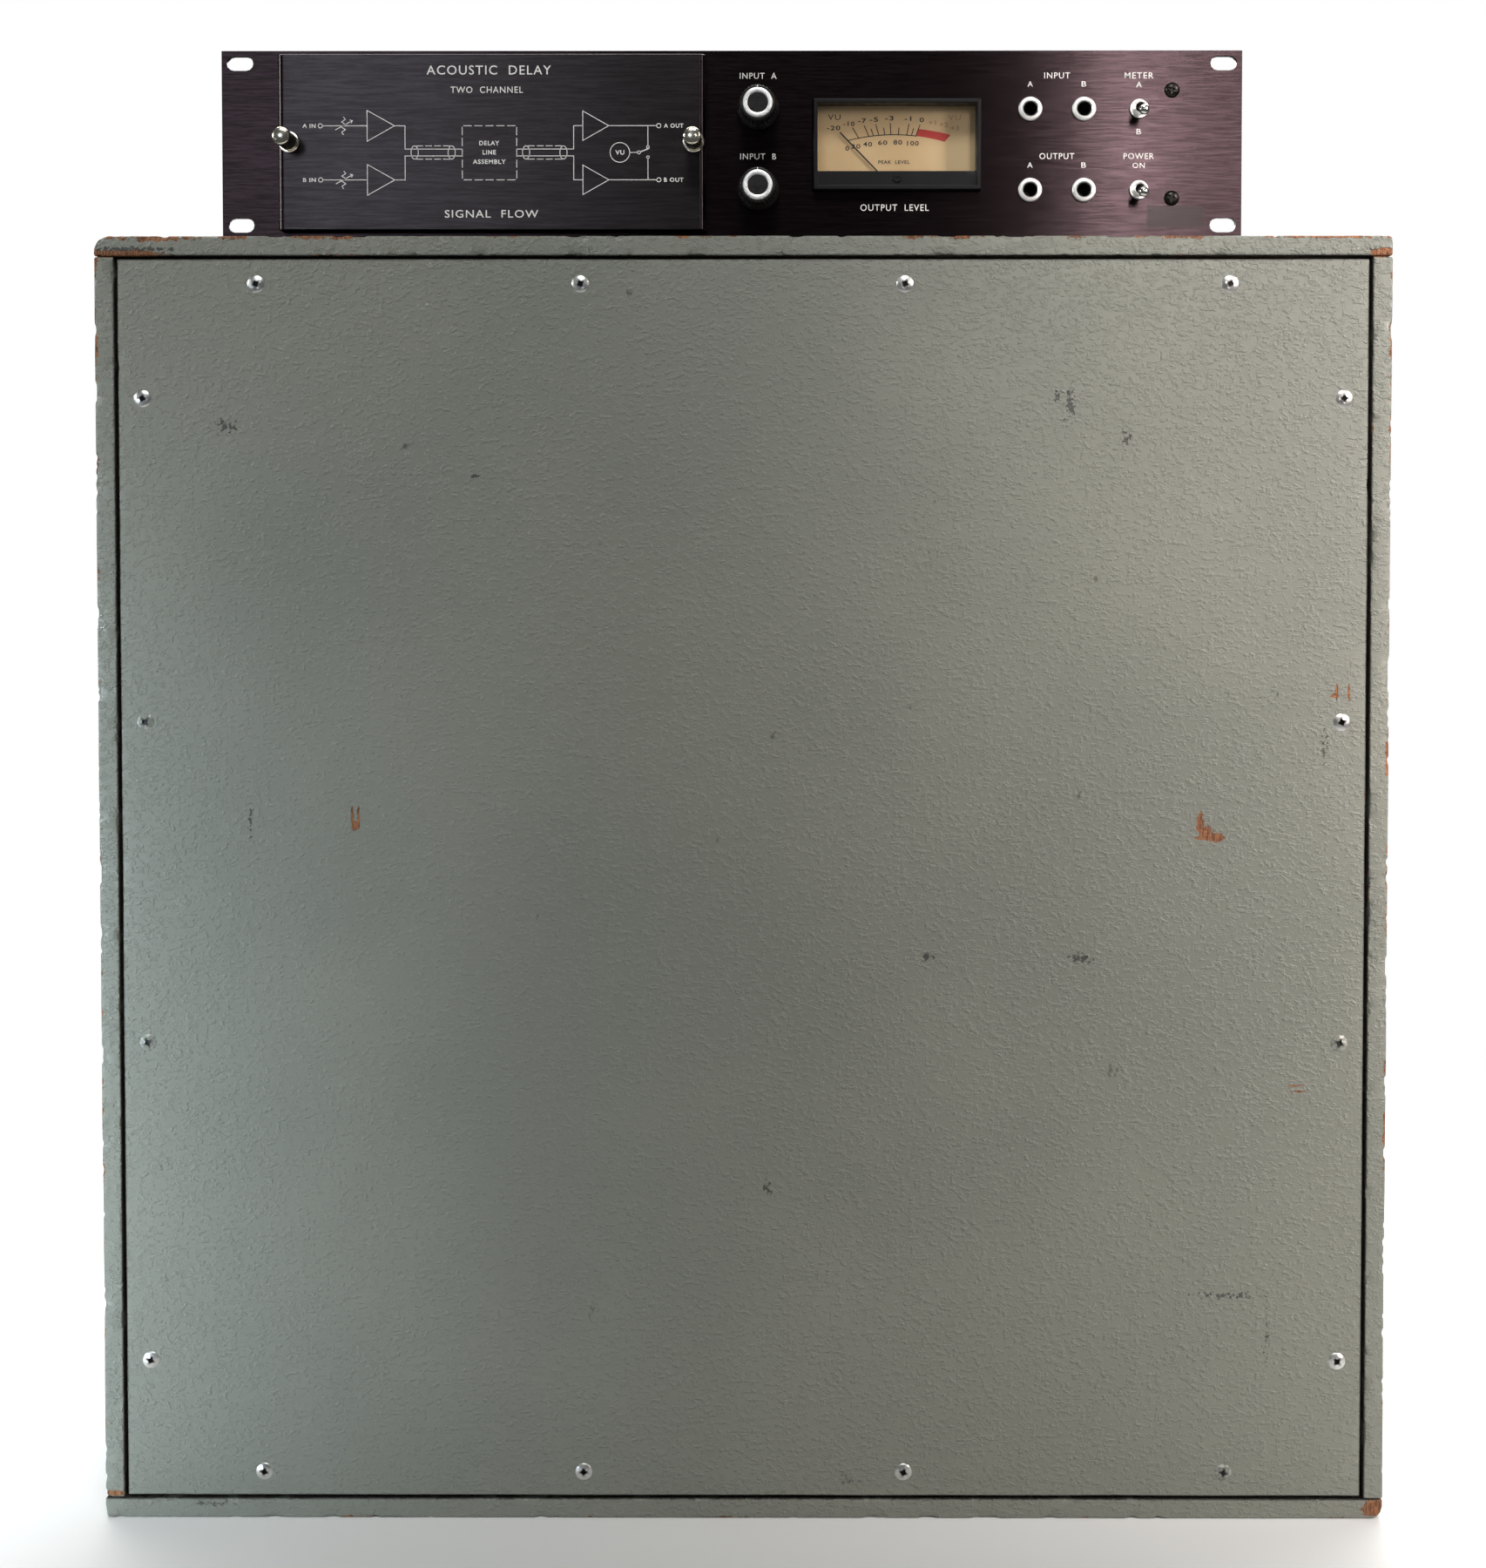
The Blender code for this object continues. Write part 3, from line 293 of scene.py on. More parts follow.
PAINT_LIGHT = (0.208, 0.215, 0.180, 1.0)
PAINT_DARK = (0.178, 0.188, 0.160, 1.0)
PAINT_CREST_HIGHLIGHT = (0.31, 0.32, 0.28, 1.0)
GRIME_AND_SHADE = (0.030, 0.029, 0.026, 1.0)
WOOD_PALE = (0.29, 0.120, 0.045, 1.0)
WOOD_DARK = (0.11, 0.040, 0.017, 1.0)


def largest(tree, masks):
    """The strongest of several masks at each point."""
    result = masks[0]
    for mask in masks[1:]:
        result = sums(tree, "MAXIMUM", result, mask)
    return result


def enamel(name, face, chips=(), scuffs=()):
    """Grey-green enamel put on with a roller, with bare-wood chips and dark scuffs on it, dirt and
    painted shade where boards meet, and a painted highlight on the crests of its stipple.

    Chips are (x, z, half width, half height, raggedness) on the upright face at y = face. Scuffs
    end in how sparse their specks are instead.
    """
    material, tree, shader = new_finish(name, PAINT_LIGHT[:3], 0.42)
    cloud = noise_at(tree, 5.0, 4.0)
    colour = blend_colour(tree, ramp(tree, cloud, 0.35, 0.65), PAINT_DARK, PAINT_LIGHT)
    peel = ramp(tree, noise_at(tree, 500.0, 3.0, (0.8, 1.0, 1.2), 0.6), 0.44, 0.70)
    rolled = noise_at(tree, 110.0, 3.0, (0.7, 1.0, 1.0))
    # the crests of the roller stipple are painted lighter: a painted highlight on the relief
    colour = blend_colour(tree, sums(tree, "MULTIPLY", peel, 0.14), colour, PAINT_CREST_HIGHLIGHT)
    flecks = ramp(tree, noise_at(tree, 42.0, 5.0, (1.0, 1.0, 0.6), 0.72), 0.69, 0.73)
    # the joint mask darkens the paint both for dirt and as painted shade in the narrow gap between
    # boards
    dirt = attribute(tree, "dirt")
    grime_and_shade = [sums(tree, "MULTIPLY", flecks, 0.6), dirt]
    for x, z, wide, tall, sparse in scuffs:
        mask = effect(tree, patch, Centre=(x, face, z), Half=(wide, 0.004, tall), Ragged=1.4,
                      Grain=480.0, Sparse=sparse)
        grime_and_shade.append(sums(tree, "MULTIPLY", mask[0], 0.85))
    colour = blend_colour(tree, largest(tree, grime_and_shade), colour, GRIME_AND_SHADE)

    bare = attribute(tree, "bare")
    torn = sums(tree, "MULTIPLY", sums(tree, "SUBTRACT", noise_at(tree, 700.0, 3.0), 0.5), 0.9)
    open_wood = [ramp(tree, sums(tree, "ADD", bare, torn), 0.42, 0.52)]
    for x, z, wide, tall, ragged in chips:
        mask = effect(tree, patch, Centre=(x, face, z), Half=(wide, 0.004, tall),
                      Ragged=ragged)
        open_wood.append(mask[0])
    open_wood = largest(tree, open_wood)
    grain = effect(tree, wood_grain, Stretch=(6.0, 1.0, 1.0), Scale=55.0)
    wood = blend_colour(tree, ramp(tree, grain["Shade"], 0.1, 0.8), WOOD_DARK, WOOD_PALE)
    colour = blend_colour(tree, open_wood, colour, wood)
    feed(tree, shader, Base_Color=colour,
         Roughness=sums(tree, "MULTIPLY_ADD", open_wood, 0.35,
                        sums(tree, "MULTIPLY_ADD", peel, -0.17, 0.42)))
    skin = sums(tree, "MULTIPLY_ADD", rolled, 0.7, peel)
    skin = sums(tree, "MULTIPLY_ADD", open_wood, -0.9, skin)
    bump(tree, shader, skin, 0.00046, 0.9)
    return material


def mesh_object(name, points, faces, material=None, smooth=35.0):
    """A closed mesh as a new object, its doubles merged and its faces turned outwards."""
    mesh = bpy.data.meshes.new(name)
    mesh.from_pydata([tuple(p) for p in points], [], [tuple(f) for f in faces])
    shape = bmesh.new()
    shape.from_mesh(mesh)
    bmesh.ops.remove_doubles(shape, verts=shape.verts, dist=1e-6)
    bmesh.ops.recalc_face_normals(shape, faces=shape.faces)
    shape.to_mesh(mesh)
    shape.free()
    mesh.shade_smooth()
    mesh.set_sharp_from_angle(angle=radians(smooth))
    if material:
        mesh.materials.append(material)
    return place_new(name, mesh)


def slab(low, high, edge, gaps):
    """Points and faces of a box with rounded edges, its faces cut into squares gaps apart."""
    axes = []
    for a, b, gap in zip(low, high, gaps):
        count = max(2, round((b - a - 2 * edge) / gap) + 1)
        inner = np.linspace(a + edge, b - edge, count)
        rim = inner[0] + 0.25 * edge, inner[-1] - 0.25 * edge
        axes.append(np.concatenate([[a, a + 0.586 * edge, inner[0], rim[0]], inner[1:-1],
                                    [rim[1], inner[-1], b - 0.586 * edge, b]]))
    points, faces = [], []
    for axis in range(3):
        u, v = [k for k in range(3) if k != axis]
        for end in (0, -1):
            start = len(points)
            for i in axes[u]:
                for j in axes[v]:
                    corner = [0.0, 0.0, 0.0]
                    corner[axis], corner[u], corner[v] = axes[axis][end], i, j
                    points.append(corner)
            rows, cols = len(axes[u]), len(axes[v])
            for i in range(rows - 1):
                for j in range(cols - 1):
                    k = start + i * cols + j
                    faces.append((k, k + 1, k + cols + 1, k + cols))
    points = np.array(points)
    core = np.clip(points, np.array(low) + edge, np.array(high) - edge)
    out = points - core
    return core + out / np.linalg.norm(out, axis=1, keepdims=True) * edge, faces


def block(name, low, high, edge, gap, material):
    """A plain box with rounded edges."""
    return mesh_object(name, *slab(low, high, edge, (gap, gap, gap)), material)


def knocks(points, low, high, seed, often=0.24, depth=0.0010, reach=0.0034):
    """Points with chips knocked out of the nearest edge."""
    to_low, to_high = points - np.array(low), np.array(high) - points
    near = np.sort(np.minimum(to_low, to_high), axis=1)
    to_edge = np.hypot(near[:, 0], near[:, 1])
    inward = np.where(to_low < to_high, 1.0, -1.0) / (np.minimum(to_low, to_high) + 0.002)
    inward /= np.linalg.norm(inward, axis=1, keepdims=True)
    shift = Vector((seed * 7.3, 0, 0))
    chance = np.array([noise.noise(Vector(p) * 70 + shift) + 0.6 * noise.noise(Vector(p) * 230)
                       for p in points])
    chip = np.clip((chance - often) * 6.0, 0, 1) * np.clip(1 - to_edge / reach, 0, 1)
    wobble = np.array([noise.noise(Vector(p) * 24 - shift) for p in points])
    rub = np.clip(1 - to_edge / (0.6 * reach), 0, 1) * (0.00015 + 0.0003 * wobble)
    return points + inward * (chip * depth + np.clip(rub, 0, 1))[:, None]


def edge_wear(points, low, high, seed, everywhere=0.0):
    """How bare the paint is at each point, 0 to 1, strongest on the cabinet's outer edges."""
    near = np.sort(np.minimum(points - np.array(low), np.array(high) - points), axis=1)
    to_edge = np.hypot(near[:, 0], near[:, 1])
    shift = Vector((0, seed * 5.1, 0))
    patchy = np.array([noise.noise(Vector(p) * 26 + shift) + 0.7 * noise.noise(Vector(p) * 120)
                       for p in points])
    case_low, case_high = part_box("cabinet_bottom_board")[0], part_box("cabinet_top_board")[1]
    outer = np.minimum(points - np.array(case_low), np.array(case_high) - points)[:, [0, 2]].min(1)
    wear = np.clip(0.28 + everywhere + 0.9 * patchy, 0, 1) * np.where(outer < 0.003, 1.0, 0.6)
    return wear * np.clip(1 - to_edge / 0.0032, 0, 1)


def painted_board(name, low, high, edge, gaps, material, seed, wear, often=0.24, corner=None,
                  inner=None):
    """One board: rounded, knocked about, with its bare places and its dirty, shaded joint in
    attributes.

    Dirt and painted shade sit in the joint: round the whole board, or on the inner face at (axis,
    place).
    """
    points, faces = slab(low, high, edge, gaps)
    points = knocks(points, low, high, seed, often)
    if corner:
        points = corner(points)
    item = mesh_object(name, points, faces, material, 60.0)
    places = np.array([v.co for v in item.data.vertices])
    # the joint mask is dirt and painted shade: dark paint along the narrow gap between boards
    if inner:
        deep = 1.4 - np.abs(places[:, inner[0]] - inner[1]) / 0.0006
    else:
        to_side = np.minimum(places - np.array(low), np.array(high) - places)[:, [0, 2]].min(1)
        deep = 1.5 - to_side / 0.0007
    values = {"bare": edge_wear(places, low, high, seed, wear), "dirt": np.clip(deep, 0, 1)}
    for word, numbers in values.items():
        kept = item.data.attributes.new(word, "FLOAT", "POINT")
        kept.data.foreach_set("value", numbers.astype(np.float32))
    return item


def cabinet_corner(points):
    """Rounds the cabinet's own four corners, each worn by a different amount."""
    low_x, high_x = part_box("cabinet_top_board")[0].x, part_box("cabinet_top_board")[1].x
    low_z, high_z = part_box("cabinet_bottom_board")[0].z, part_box("cabinet_top_board")[1].z
    for x, z, sx, sz, radius in ((low_x, high_z, 1, -1, 0.008), (high_x, high_z, -1, -1, 0.003),
                                 (low_x, low_z, 1, 1, 0.004), (high_x, low_z, -1, 1, 0.0075)):
        middle = np.array([x + sx * radius, z + sz * radius])
        across = points[:, [0, 2]] - middle
        beyond = (across[:, 0] * sx < 0) & (across[:, 1] * sz < 0)
        length = np.linalg.norm(across, axis=1)
        pull = beyond & (length > radius)
        scaled = middle + across / np.maximum(length, 1e-9)[:, None] * radius
        points[pull, 0], points[pull, 2] = scaled[pull, 0], scaled[pull, 1]
    return points


split_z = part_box("cabinet_top_board")[1].z - 0.0063
left_x, right_x = cad_low.x, cad_high.x
outer_chips = [
    (left_x + 0.014, split_z - 0.0022, 0.020, 0.0016, 0.5),
    (left_x + 0.030, split_z + 0.0052, 0.014, 0.0014, 0.9),
    (left_x + 0.066, split_z + 0.0056, 0.006, 0.0010, 0.9),
    (right_x - 0.005, split_z - 0.0020, 0.006, 0.0022, 0.35),
    (right_x - 0.028, split_z + 0.0058, 0.030, 0.0008, 0.9),
    (right_x - 0.0045, 0.0050, 0.006, 0.0036, 0.35),
    (left_x + 0.004, 0.0118, 0.005, 0.0014, 0.3),
]
outer_scuffs = [
    (left_x + 0.017, split_z, 0.019, 0.0009, 0.0),
    (right_x - 0.004, split_z - 0.0004, 0.006, 0.0007, 0.0),
    (left_x + 0.052, 0.0070, 0.010, 0.0010, 0.3),
]
carcass_paint = enamel("carcass_enamel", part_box("cabinet_top_board")[0].y, outer_chips,
                       outer_scuffs)
FINE, COARSE = 0.0022, 0.014
for seed, (node_name, gaps, wear, axis, end) in enumerate((
        ("cabinet_top_board", (0.0015, COARSE, FINE), 0.05, 2, 0),
        ("cabinet_bottom_board", (0.0015, COARSE, FINE), -0.05, 2, 1),
        ("cabinet_left_board", (FINE, COARSE, 0.0015), 0.10, 0, 1),
        ("cabinet_right_board", (FINE, COARSE, 0.0015), 0.08, 0, 0))):
    low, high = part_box(node_name)
    board = painted_board(node_name + "_worn", low, high, 0.0010, gaps, carcass_paint, seed,
                          wear, corner=cabinet_corner, inner=(axis, (low, high)[end][axis]))
    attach(board, "cabinet")
    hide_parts(node_name)

low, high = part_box("cabinet_front_board")
front_chips = [
    (-0.1848, 0.3366, 0.0007, 0.0045, 0.35), (-0.1818, 0.3360, 0.0006, 0.0050, 0.35),
    (-0.1834, 0.3318, 0.0019, 0.0022, 0.5),
    (0.2160, 0.3320, 0.0018, 0.0055, 0.5), (0.2215, 0.3262, 0.0062, 0.0020, 0.5),
    (0.2185, 0.3290, 0.0038, 0.0028, 0.6),
    (0.2798, 0.3945, 0.0008, 0.0042, 0.5), (0.2856, 0.3952, 0.0006, 0.0045, 0.5),
    (0.2790, 0.3935, 0.0022, 0.0012, 0.5),
    (0.2615, 0.2082, 0.0028, 0.0005, 0.9), (0.2635, 0.2056, 0.0032, 0.0005, 0.9),
]
front_scuffs = [
    (-0.2430, 0.5206, 0.0060, 0.0045, 0.6), (0.1541, 0.5300, 0.0036, 0.0095, 0.6),
    (0.1480, 0.5345, 0.0022, 0.0060, 0.7), (0.1803, 0.5146, 0.0022, 0.0050, 0.5),
    (0.0876, 0.2696, 0.0026, 0.0018, 0.2), (0.1598, 0.2689, 0.0048, 0.0022, 0.2),
    (0.0113, 0.1594, 0.0024, 0.0034, 0.5), (0.2490, 0.0850, 0.0018, 0.0130, 0.7),
    (0.2300, 0.1080, 0.0220, 0.0024, 0.7), (-0.2330, 0.3350, 0.0012, 0.0100, 0.6),
    (-0.1260, 0.4970, 0.0020, 0.0012, 0.4), (0.2740, 0.3700, 0.0026, 0.0100, 0.8),
]
front_paint = enamel("front_enamel", low.y, front_chips, front_scuffs)
board = painted_board("cabinet_front_board_worn", low, high, 0.0009, (0.005, 0.003, 0.005),
                      front_paint, 9, -0.28, often=0.75)
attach(board, "cabinet")
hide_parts("cabinet_front_board")
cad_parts["cabinet_back_board"].data.materials.clear()
back_chips = [(-0.2010, 0.1180, 0.0040, 0.0016, 0.5), (0.1720, 0.4410, 0.0014, 0.0045, 0.5)]
back_scuffs = [(0.0900, 0.2300, 0.0150, 0.0030, 0.7), (-0.1500, 0.4700, 0.0030, 0.0110, 0.6),
               (0.2300, 0.0700, 0.0060, 0.0040, 0.5)]
back_paint = enamel("back_enamel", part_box("cabinet_back_board")[1].y, back_chips, back_scuffs)
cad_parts["cabinet_back_board"].data.materials.append(back_paint)

# ---------------------------------------------------------------- front board screws
# Sixteen oval-head cross-recessed wood screws, bright zinc, hold the front board to the cleats
# six inches apart. Most were wiped clean after the last coat of paint and a few never were.


def spin(name, profile, x=0.0, y=0.0, z=0.0, steps=48, material=None, smooth=35.0):
    """A solid turned about a line along Y, from (radius, y) points.

    A profile that starts and ends on the line is closed there, and any other is a ring.
    """
    points, rings, faces = [], [], []
    for radius, depth in profile:
        count = steps if radius else 1
        rings.append([len(points) + i for i in range(count)])
        for i in range(count):
            angle = 2 * pi * i / steps
            points.append((x + radius * cos(angle), y + depth, z + radius * sin(angle)))
    pairs = list(zip(rings, rings[1:]))
    if profile[0][0]:
        pairs.append((rings[-1], rings[0]))
    for one, two in pairs:
        for i in range(steps):
            j = (i + 1) % steps
            ring = [one[i % len(one)], one[j % len(one)], two[j % len(two)], two[i % len(two)]]
            faces.append(tuple(dict.fromkeys(ring)))
    return mesh_object(name, points, faces, material, smooth)


def new_geometry_tree(name, inputs):
    """An empty Geometry Nodes tree with named inputs, and its input and output sockets."""
    tree = bpy.data.node_groups.new(name, "GeometryNodeTree")
    tree.interface.new_socket("Geometry", in_out="OUTPUT", socket_type="NodeSocketGeometry")
    tree.interface.new_socket("Geometry", in_out="INPUT", socket_type="NodeSocketGeometry")
    for word, kind in inputs:
        tree.interface.new_socket(word, in_out="INPUT", socket_type="NodeSocket" + kind)
    return tree, put(tree, "NodeGroupInput").outputs, put(tree, "NodeGroupOutput").inputs


def made_mesh(item):
    """The plain mesh that an object's modifiers or its curve make."""
    bpy.context.view_layer.update()
    graph = bpy.context.evaluated_depsgraph_get()
    return bpy.data.meshes.new_from_object(item.evaluated_get(graph))


def keep_mesh(item, material):
    """Turn an object into its plain mesh, all in one material."""
    mesh = made_mesh(item)
    item.modifiers.clear()
    item.data = mesh
    mesh.materials.clear()
    mesh.materials.append(material)
    return item


def end_tree(tree, geometry, given, result):
    """Realize a tree's geometry, give it the tree's material and send it out."""
    real = put(tree, "GeometryNodeRealizeInstances", {0: geometry})
    coated = put(tree, "GeometryNodeSetMaterial", {0: real.outputs[0],
                                                   "Material": given["Material"]})
    tree.links.new(coated.outputs[0], result["Geometry"])


def grow(item, tree, material, **values):
    """Run a Geometry Nodes tree on an object and keep the result as its plain mesh."""
    values["Material"] = material
    step = item.modifiers.new("grow", "NODES")
    step.node_group = tree
    for socket in tree.interface.items_tree:
        word = socket.name.replace(" ", "_")
        if socket.in_out == "INPUT" and word in values:
            step[socket.identifier] = values[word]
    return keep_mesh(item, material)


def dots(name, places):
    """An object that is only points, for a tree to put things on."""
    mesh = bpy.data.meshes.new(name)
    mesh.from_pydata([tuple(p) for p in places], [], [])
    return place_new(name, mesh)


def drop(item):
    bpy.data.objects.remove(item, do_unlink=True)


def centred(node_name):
    """A CAD node's box, and its middle along X and Z."""
    low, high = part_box(node_name)
    return low, high, (low.x + high.x) / 2, (low.z + high.z) / 2


def fit_out(item, body, slot_name, *nodes):
    """Let a finished piece ride on its body and stand for CAD nodes, which it hides; slot_name is
    not used.
    """
    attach(item, body)
    if nodes:
        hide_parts(*nodes)
    return item


cross_head, given, result = new_geometry_tree("cross_head_screws", [
    ("Head", "Object"), ("Recess Width", "Float"), ("Recess Slot", "Float"),
    ("Recess Depth", "Float"), ("Facing", "Float"), ("Seed", "Int"), ("Material", "Material")])
head = put(cross_head, "GeometryNodeObjectInfo", {"Object": given["Head"]}).outputs["Geometry"]
deep = sums(cross_head, "MULTIPLY", given["Recess Depth"], 2.0)
blades = []
for wide, tall in (("Recess Width", "Recess Slot"), ("Recess Slot", "Recess Width")):
    size = put(cross_head, "ShaderNodeCombineXYZ", {0: given[wide], 1: deep, 2: given[tall]})
    blades.append(put(cross_head, "GeometryNodeMeshCube", {"Size": size.outputs[0]}).outputs[0])
pit = put(cross_head, "GeometryNodeMeshCylinder",
          {"Vertices": 8, "Radius": sums(cross_head, "MULTIPLY", given["Recess Slot"], 1.05),
           "Depth": sums(cross_head, "MULTIPLY", deep, 1.5)}).outputs["Mesh"]
pit = put(cross_head, "GeometryNodeTransform",
          {"Geometry": pit, "Rotation": (pi / 2, 0, 0)}).outputs[0]
driven = put(cross_head, "GeometryNodeMeshBoolean", {"Mesh 1": head, "Mesh 2": blades[0]},
             operation="DIFFERENCE", solver="EXACT")
cross_head.links.new(blades[1], driven.inputs["Mesh 2"])
cross_head.links.new(pit, driven.inputs["Mesh 2"])
# each cross recess, deeper than 0.4 mm into the head, is marked so that the finishes paint it
# near-black as painted shade
spot = put(cross_head, "GeometryNodeInputPosition").outputs[0]
spot_parts = put(cross_head, "ShaderNodeSeparateXYZ", {0: spot}).outputs
off_axis = length_of(cross_head, vectors(cross_head, "MULTIPLY", spot, (1, 0, 1)))
sunk = sums(cross_head, "MULTIPLY", sums(cross_head, "GREATER_THAN", spot_parts[1], 0.0004),
            sums(cross_head, "LESS_THAN", off_axis,
                 sums(cross_head, "MULTIPLY", given["Recess Width"], 0.51)))
driven = put(cross_head, "GeometryNodeStoreNamedAttribute",
             {"Geometry": driven.outputs["Mesh"], "Name": "sunk", "Value": sunk})
turn = put(cross_head, "FunctionNodeRandomValue", {"Max": (0, 2 * pi, 0), "Seed": given["Seed"]},
           data_type="FLOAT_VECTOR")
face_way = put(cross_head, "ShaderNodeCombineXYZ", {2: given["Facing"]})
turn = vectors(cross_head, "ADD", turn.outputs[0], face_way.outputs[0])
copies = put(cross_head, "GeometryNodeInstanceOnPoints",
             {"Points": given["Geometry"], "Instance": driven.outputs[0],
              "Rotation": turn})
end_tree(cross_head, copies.outputs[0], given, result)

# fingerprints and dull patches, for metal and plastic that has been handled
smudges, given, made = new_group("smudges", [("Scale", "Float", 60.0), ("Low", "Float", 0.25),
                                             ("High", "Float", 0.45)],
                                 [("Roughness", "Float"), ("Mask", "Float")])
place = object_place(smudges)
soft = noise_on(smudges, place, given["Scale"], 5.0, Roughness=0.65)
spread = put(smudges, "ShaderNodeMapRange", {"Value": soft, "From Min": 0.35, "From Max": 0.68,
                                             "To Min": given["Low"], "To Max": given["High"]})
smudges.links.new(spread.outputs[0], made["Roughness"])
smudges.links.new(ramp(smudges, soft, 0.52, 0.70), made["Mask"])


def handled(name, colour, roughness, scale, low, high, metallic=0.0, **plain):
    """A finish whose roughness varies from low to high where hands and dust have been."""
    material, tree, shader = new_finish(name, colour, roughness, metallic, **plain)
    marks = effect(tree, smudges, Scale=scale, Low=low, High=high)
    feed(tree, shader, Roughness=marks["Roughness"])
    return material, tree, shader


def bright_metal(name, colour, scale, low, high, tarnish=(0.30, 0.27, 0.22), amount=0.35):
    """Plated or polished metal with smudges, a little tarnish and near-black painted shade in marked
    screw recesses.
    """
    material, tree, shader = new_finish(name, colour, low, 1.0)
    marks = effect(tree, smudges, Scale=scale, Low=low, High=high)
    dull = sums(tree, "MULTIPLY", marks["Mask"], amount)
    # a marked screw recess is painted near-black: painted shade
    sunk = attribute(tree, "sunk")
    colour = blend_colour(tree, dull, (*colour, 1.0), (*tarnish, 1.0))
    feed(tree, shader, Roughness=marks["Roughness"],
         Base_Color=blend_colour(tree, sunk, colour, (0.012, 0.011, 0.010, 1.0)))
    bump(tree, shader, noise_at(tree, 2600.0, 2.0), 0.00002, 0.5)
    return material


zinc = bright_metal("bright_zinc", (0.62, 0.62, 0.60), 420.0, 0.28, 0.46)
painted_zinc, tree, shader = new_finish("zinc_with_enamel_on_it", (0.35, 0.37, 0.33), 0.5, 0.5)
cover = ramp(tree, noise_at(tree, 520.0, 3.0), 0.36, 0.55)
# a marked screw recess is painted near-black here too: painted shade
sunk = attribute(tree, "sunk")
colour = blend_colour(tree, cover, (0.42, 0.42, 0.39, 1), PAINT_DARK)
feed(tree, shader, Base_Color=blend_colour(tree, sunk, colour, (0.020, 0.020, 0.018, 1)),
     Metallic=sums(tree, "SUBTRACT", 1.0, cover))
bump(tree, shader, cover, 0.0001)

SCREW_PITCH = 0.1524
HEAD_STANDS = 0.0011
screw_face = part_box("cabinet_front_board")[0].y - HEAD_STANDS
middle_z = (cad_low.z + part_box("cabinet_top_board")[1].z) / 2
top_line, bottom_line = [sum(p.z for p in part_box(n)) / 2 for n in ("top_cleat", "bottom_cleat")]
left_line, right_line = [sum(p.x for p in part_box(n)) / 2 for n in ("left_cleat", "right_cleat")]
wiped, coated_over = [], []
for number in range(4):
    step = (number - 1.5) * SCREW_PITCH
    wiped.append((step, screw_face, top_line))
    (coated_over if number in (1, 2) else wiped).append((left_line, screw_face, middle_z + step))
    (coated_over if number == 1 else wiped).append((right_line, screw_face, middle_z + step))
    (coated_over if number == 3 else wiped).append((step, screw_face, bottom_line))
head = spin("oval_head", [(0, 0), (0.0012, 0.00008), (0.0024, 0.00034), (0.0034, 0.00074),
                          (0.0040, 0.00104), (0.00415, 0.0012), (0.0020, 0.0034), (0, 0.0034)])
for name, places, metal in (("front_screws_bright", wiped, zinc),
                            ("front_screws_painted", coated_over, painted_zinc)):
    screws = grow(dots(name, places), cross_head, metal, Head=head, Recess_Width=0.0050,
                  Recess_Slot=0.00130, Recess_Depth=0.0007, Seed=4)
    fit_out(screws, "cabinet", "plated_steel")
drop(head)

# ---------------------------------------------------------------- cleats and coil former
# Softwood battens glued round the opening take the front board's screws. The former inside is a
# plywood board with four turned posts, hung on rubber cylinders so that footsteps stay out.


def planed_wood(name, stretch, pale, dark):
    material, tree, shader = new_finish(name, pale[:3], 0.68)
    grain = effect(tree, wood_grain, Stretch=stretch, Scale=22.0)
    feed(tree, shader, Base_Color=blend_colour(tree, ramp(tree, grain["Shade"], 0.0, 0.9),
                                               dark, pale))
    bump(tree, shader, grain["Height"], 0.0003, 0.6)
    return material


def dress(material, slot_name, *names):
    """Give CAD nodes that stay as they are a finish."""
    for node_name in names:
        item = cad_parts[node_name]
        item.data.materials.clear()
        item.data.materials.append(material)


SOFTWOOD = ((0.62, 0.42, 0.22, 1.0), (0.40, 0.22, 0.095, 1.0))
lying_wood = planed_wood("softwood_lying", (0.12, 1.0, 1.0), *SOFTWOOD)
upright_wood = planed_wood("softwood_upright", (1.0, 1.0, 0.12), *SOFTWOOD)
for node_name, wood in (("top_cleat", lying_wood), ("bottom_cleat", lying_wood),
                        ("left_cleat", upright_wood), ("right_cleat", upright_wood)):
    low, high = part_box(node_name)
    low.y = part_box("cabinet_front_board")[1].y + 0.0003
    high.y = low.y + 0.019
    batten = mesh_object(node_name + "_batten", *slab(low, high, 0.0012, (0.02, 0.008, 0.02)), wood)
    fit_out(batten, "cabinet", "bare_wood", node_name)
former_ply = planed_wood("former_plywood", (0.2, 1.0, 1.0), (0.55, 0.37, 0.20, 1.0),
                         (0.36, 0.20, 0.09, 1.0))
dress(former_ply, "bare_wood", "coil_former")
rubber = handled("isolator_rubber", (0.018, 0.018, 0.018), 0.75, 90.0, 0.6, 0.9)[0]
dress(rubber, "rubber", *["isolator_" + corner for corner in
                          ("upper_left", "upper_right", "lower_left", "lower_right")])

# ---------------------------------------------------------------- delay hoses
# Two lengths of green garden hose, each wound in one helix round the posts with a loudspeaker
# capsule pushed into its start and a microphone capsule into its end.

HOSE_RADIUS = 0.006
HOSE_LENGTHS = {"a": 4.80, "b": 5.49}

tube_along, given, result = new_geometry_tree("tube_along", [
    ("Radius", "Float"), ("Sides", "Int"), ("Material", "Material")])
line = put(tube_along, "GeometryNodeMeshToCurve", {"Mesh": given["Geometry"]}).outputs[0]
ring = put(tube_along, "GeometryNodeCurvePrimitiveCircle",
           {"Resolution": given["Sides"], "Radius": given["Radius"]}).outputs["Curve"]
tube = put(tube_along, "GeometryNodeCurveToMesh", {"Curve": line, "Profile Curve": ring,
                                                   "Fill Caps": True})
end_tree(tube_along, tube.outputs[0], given, result)

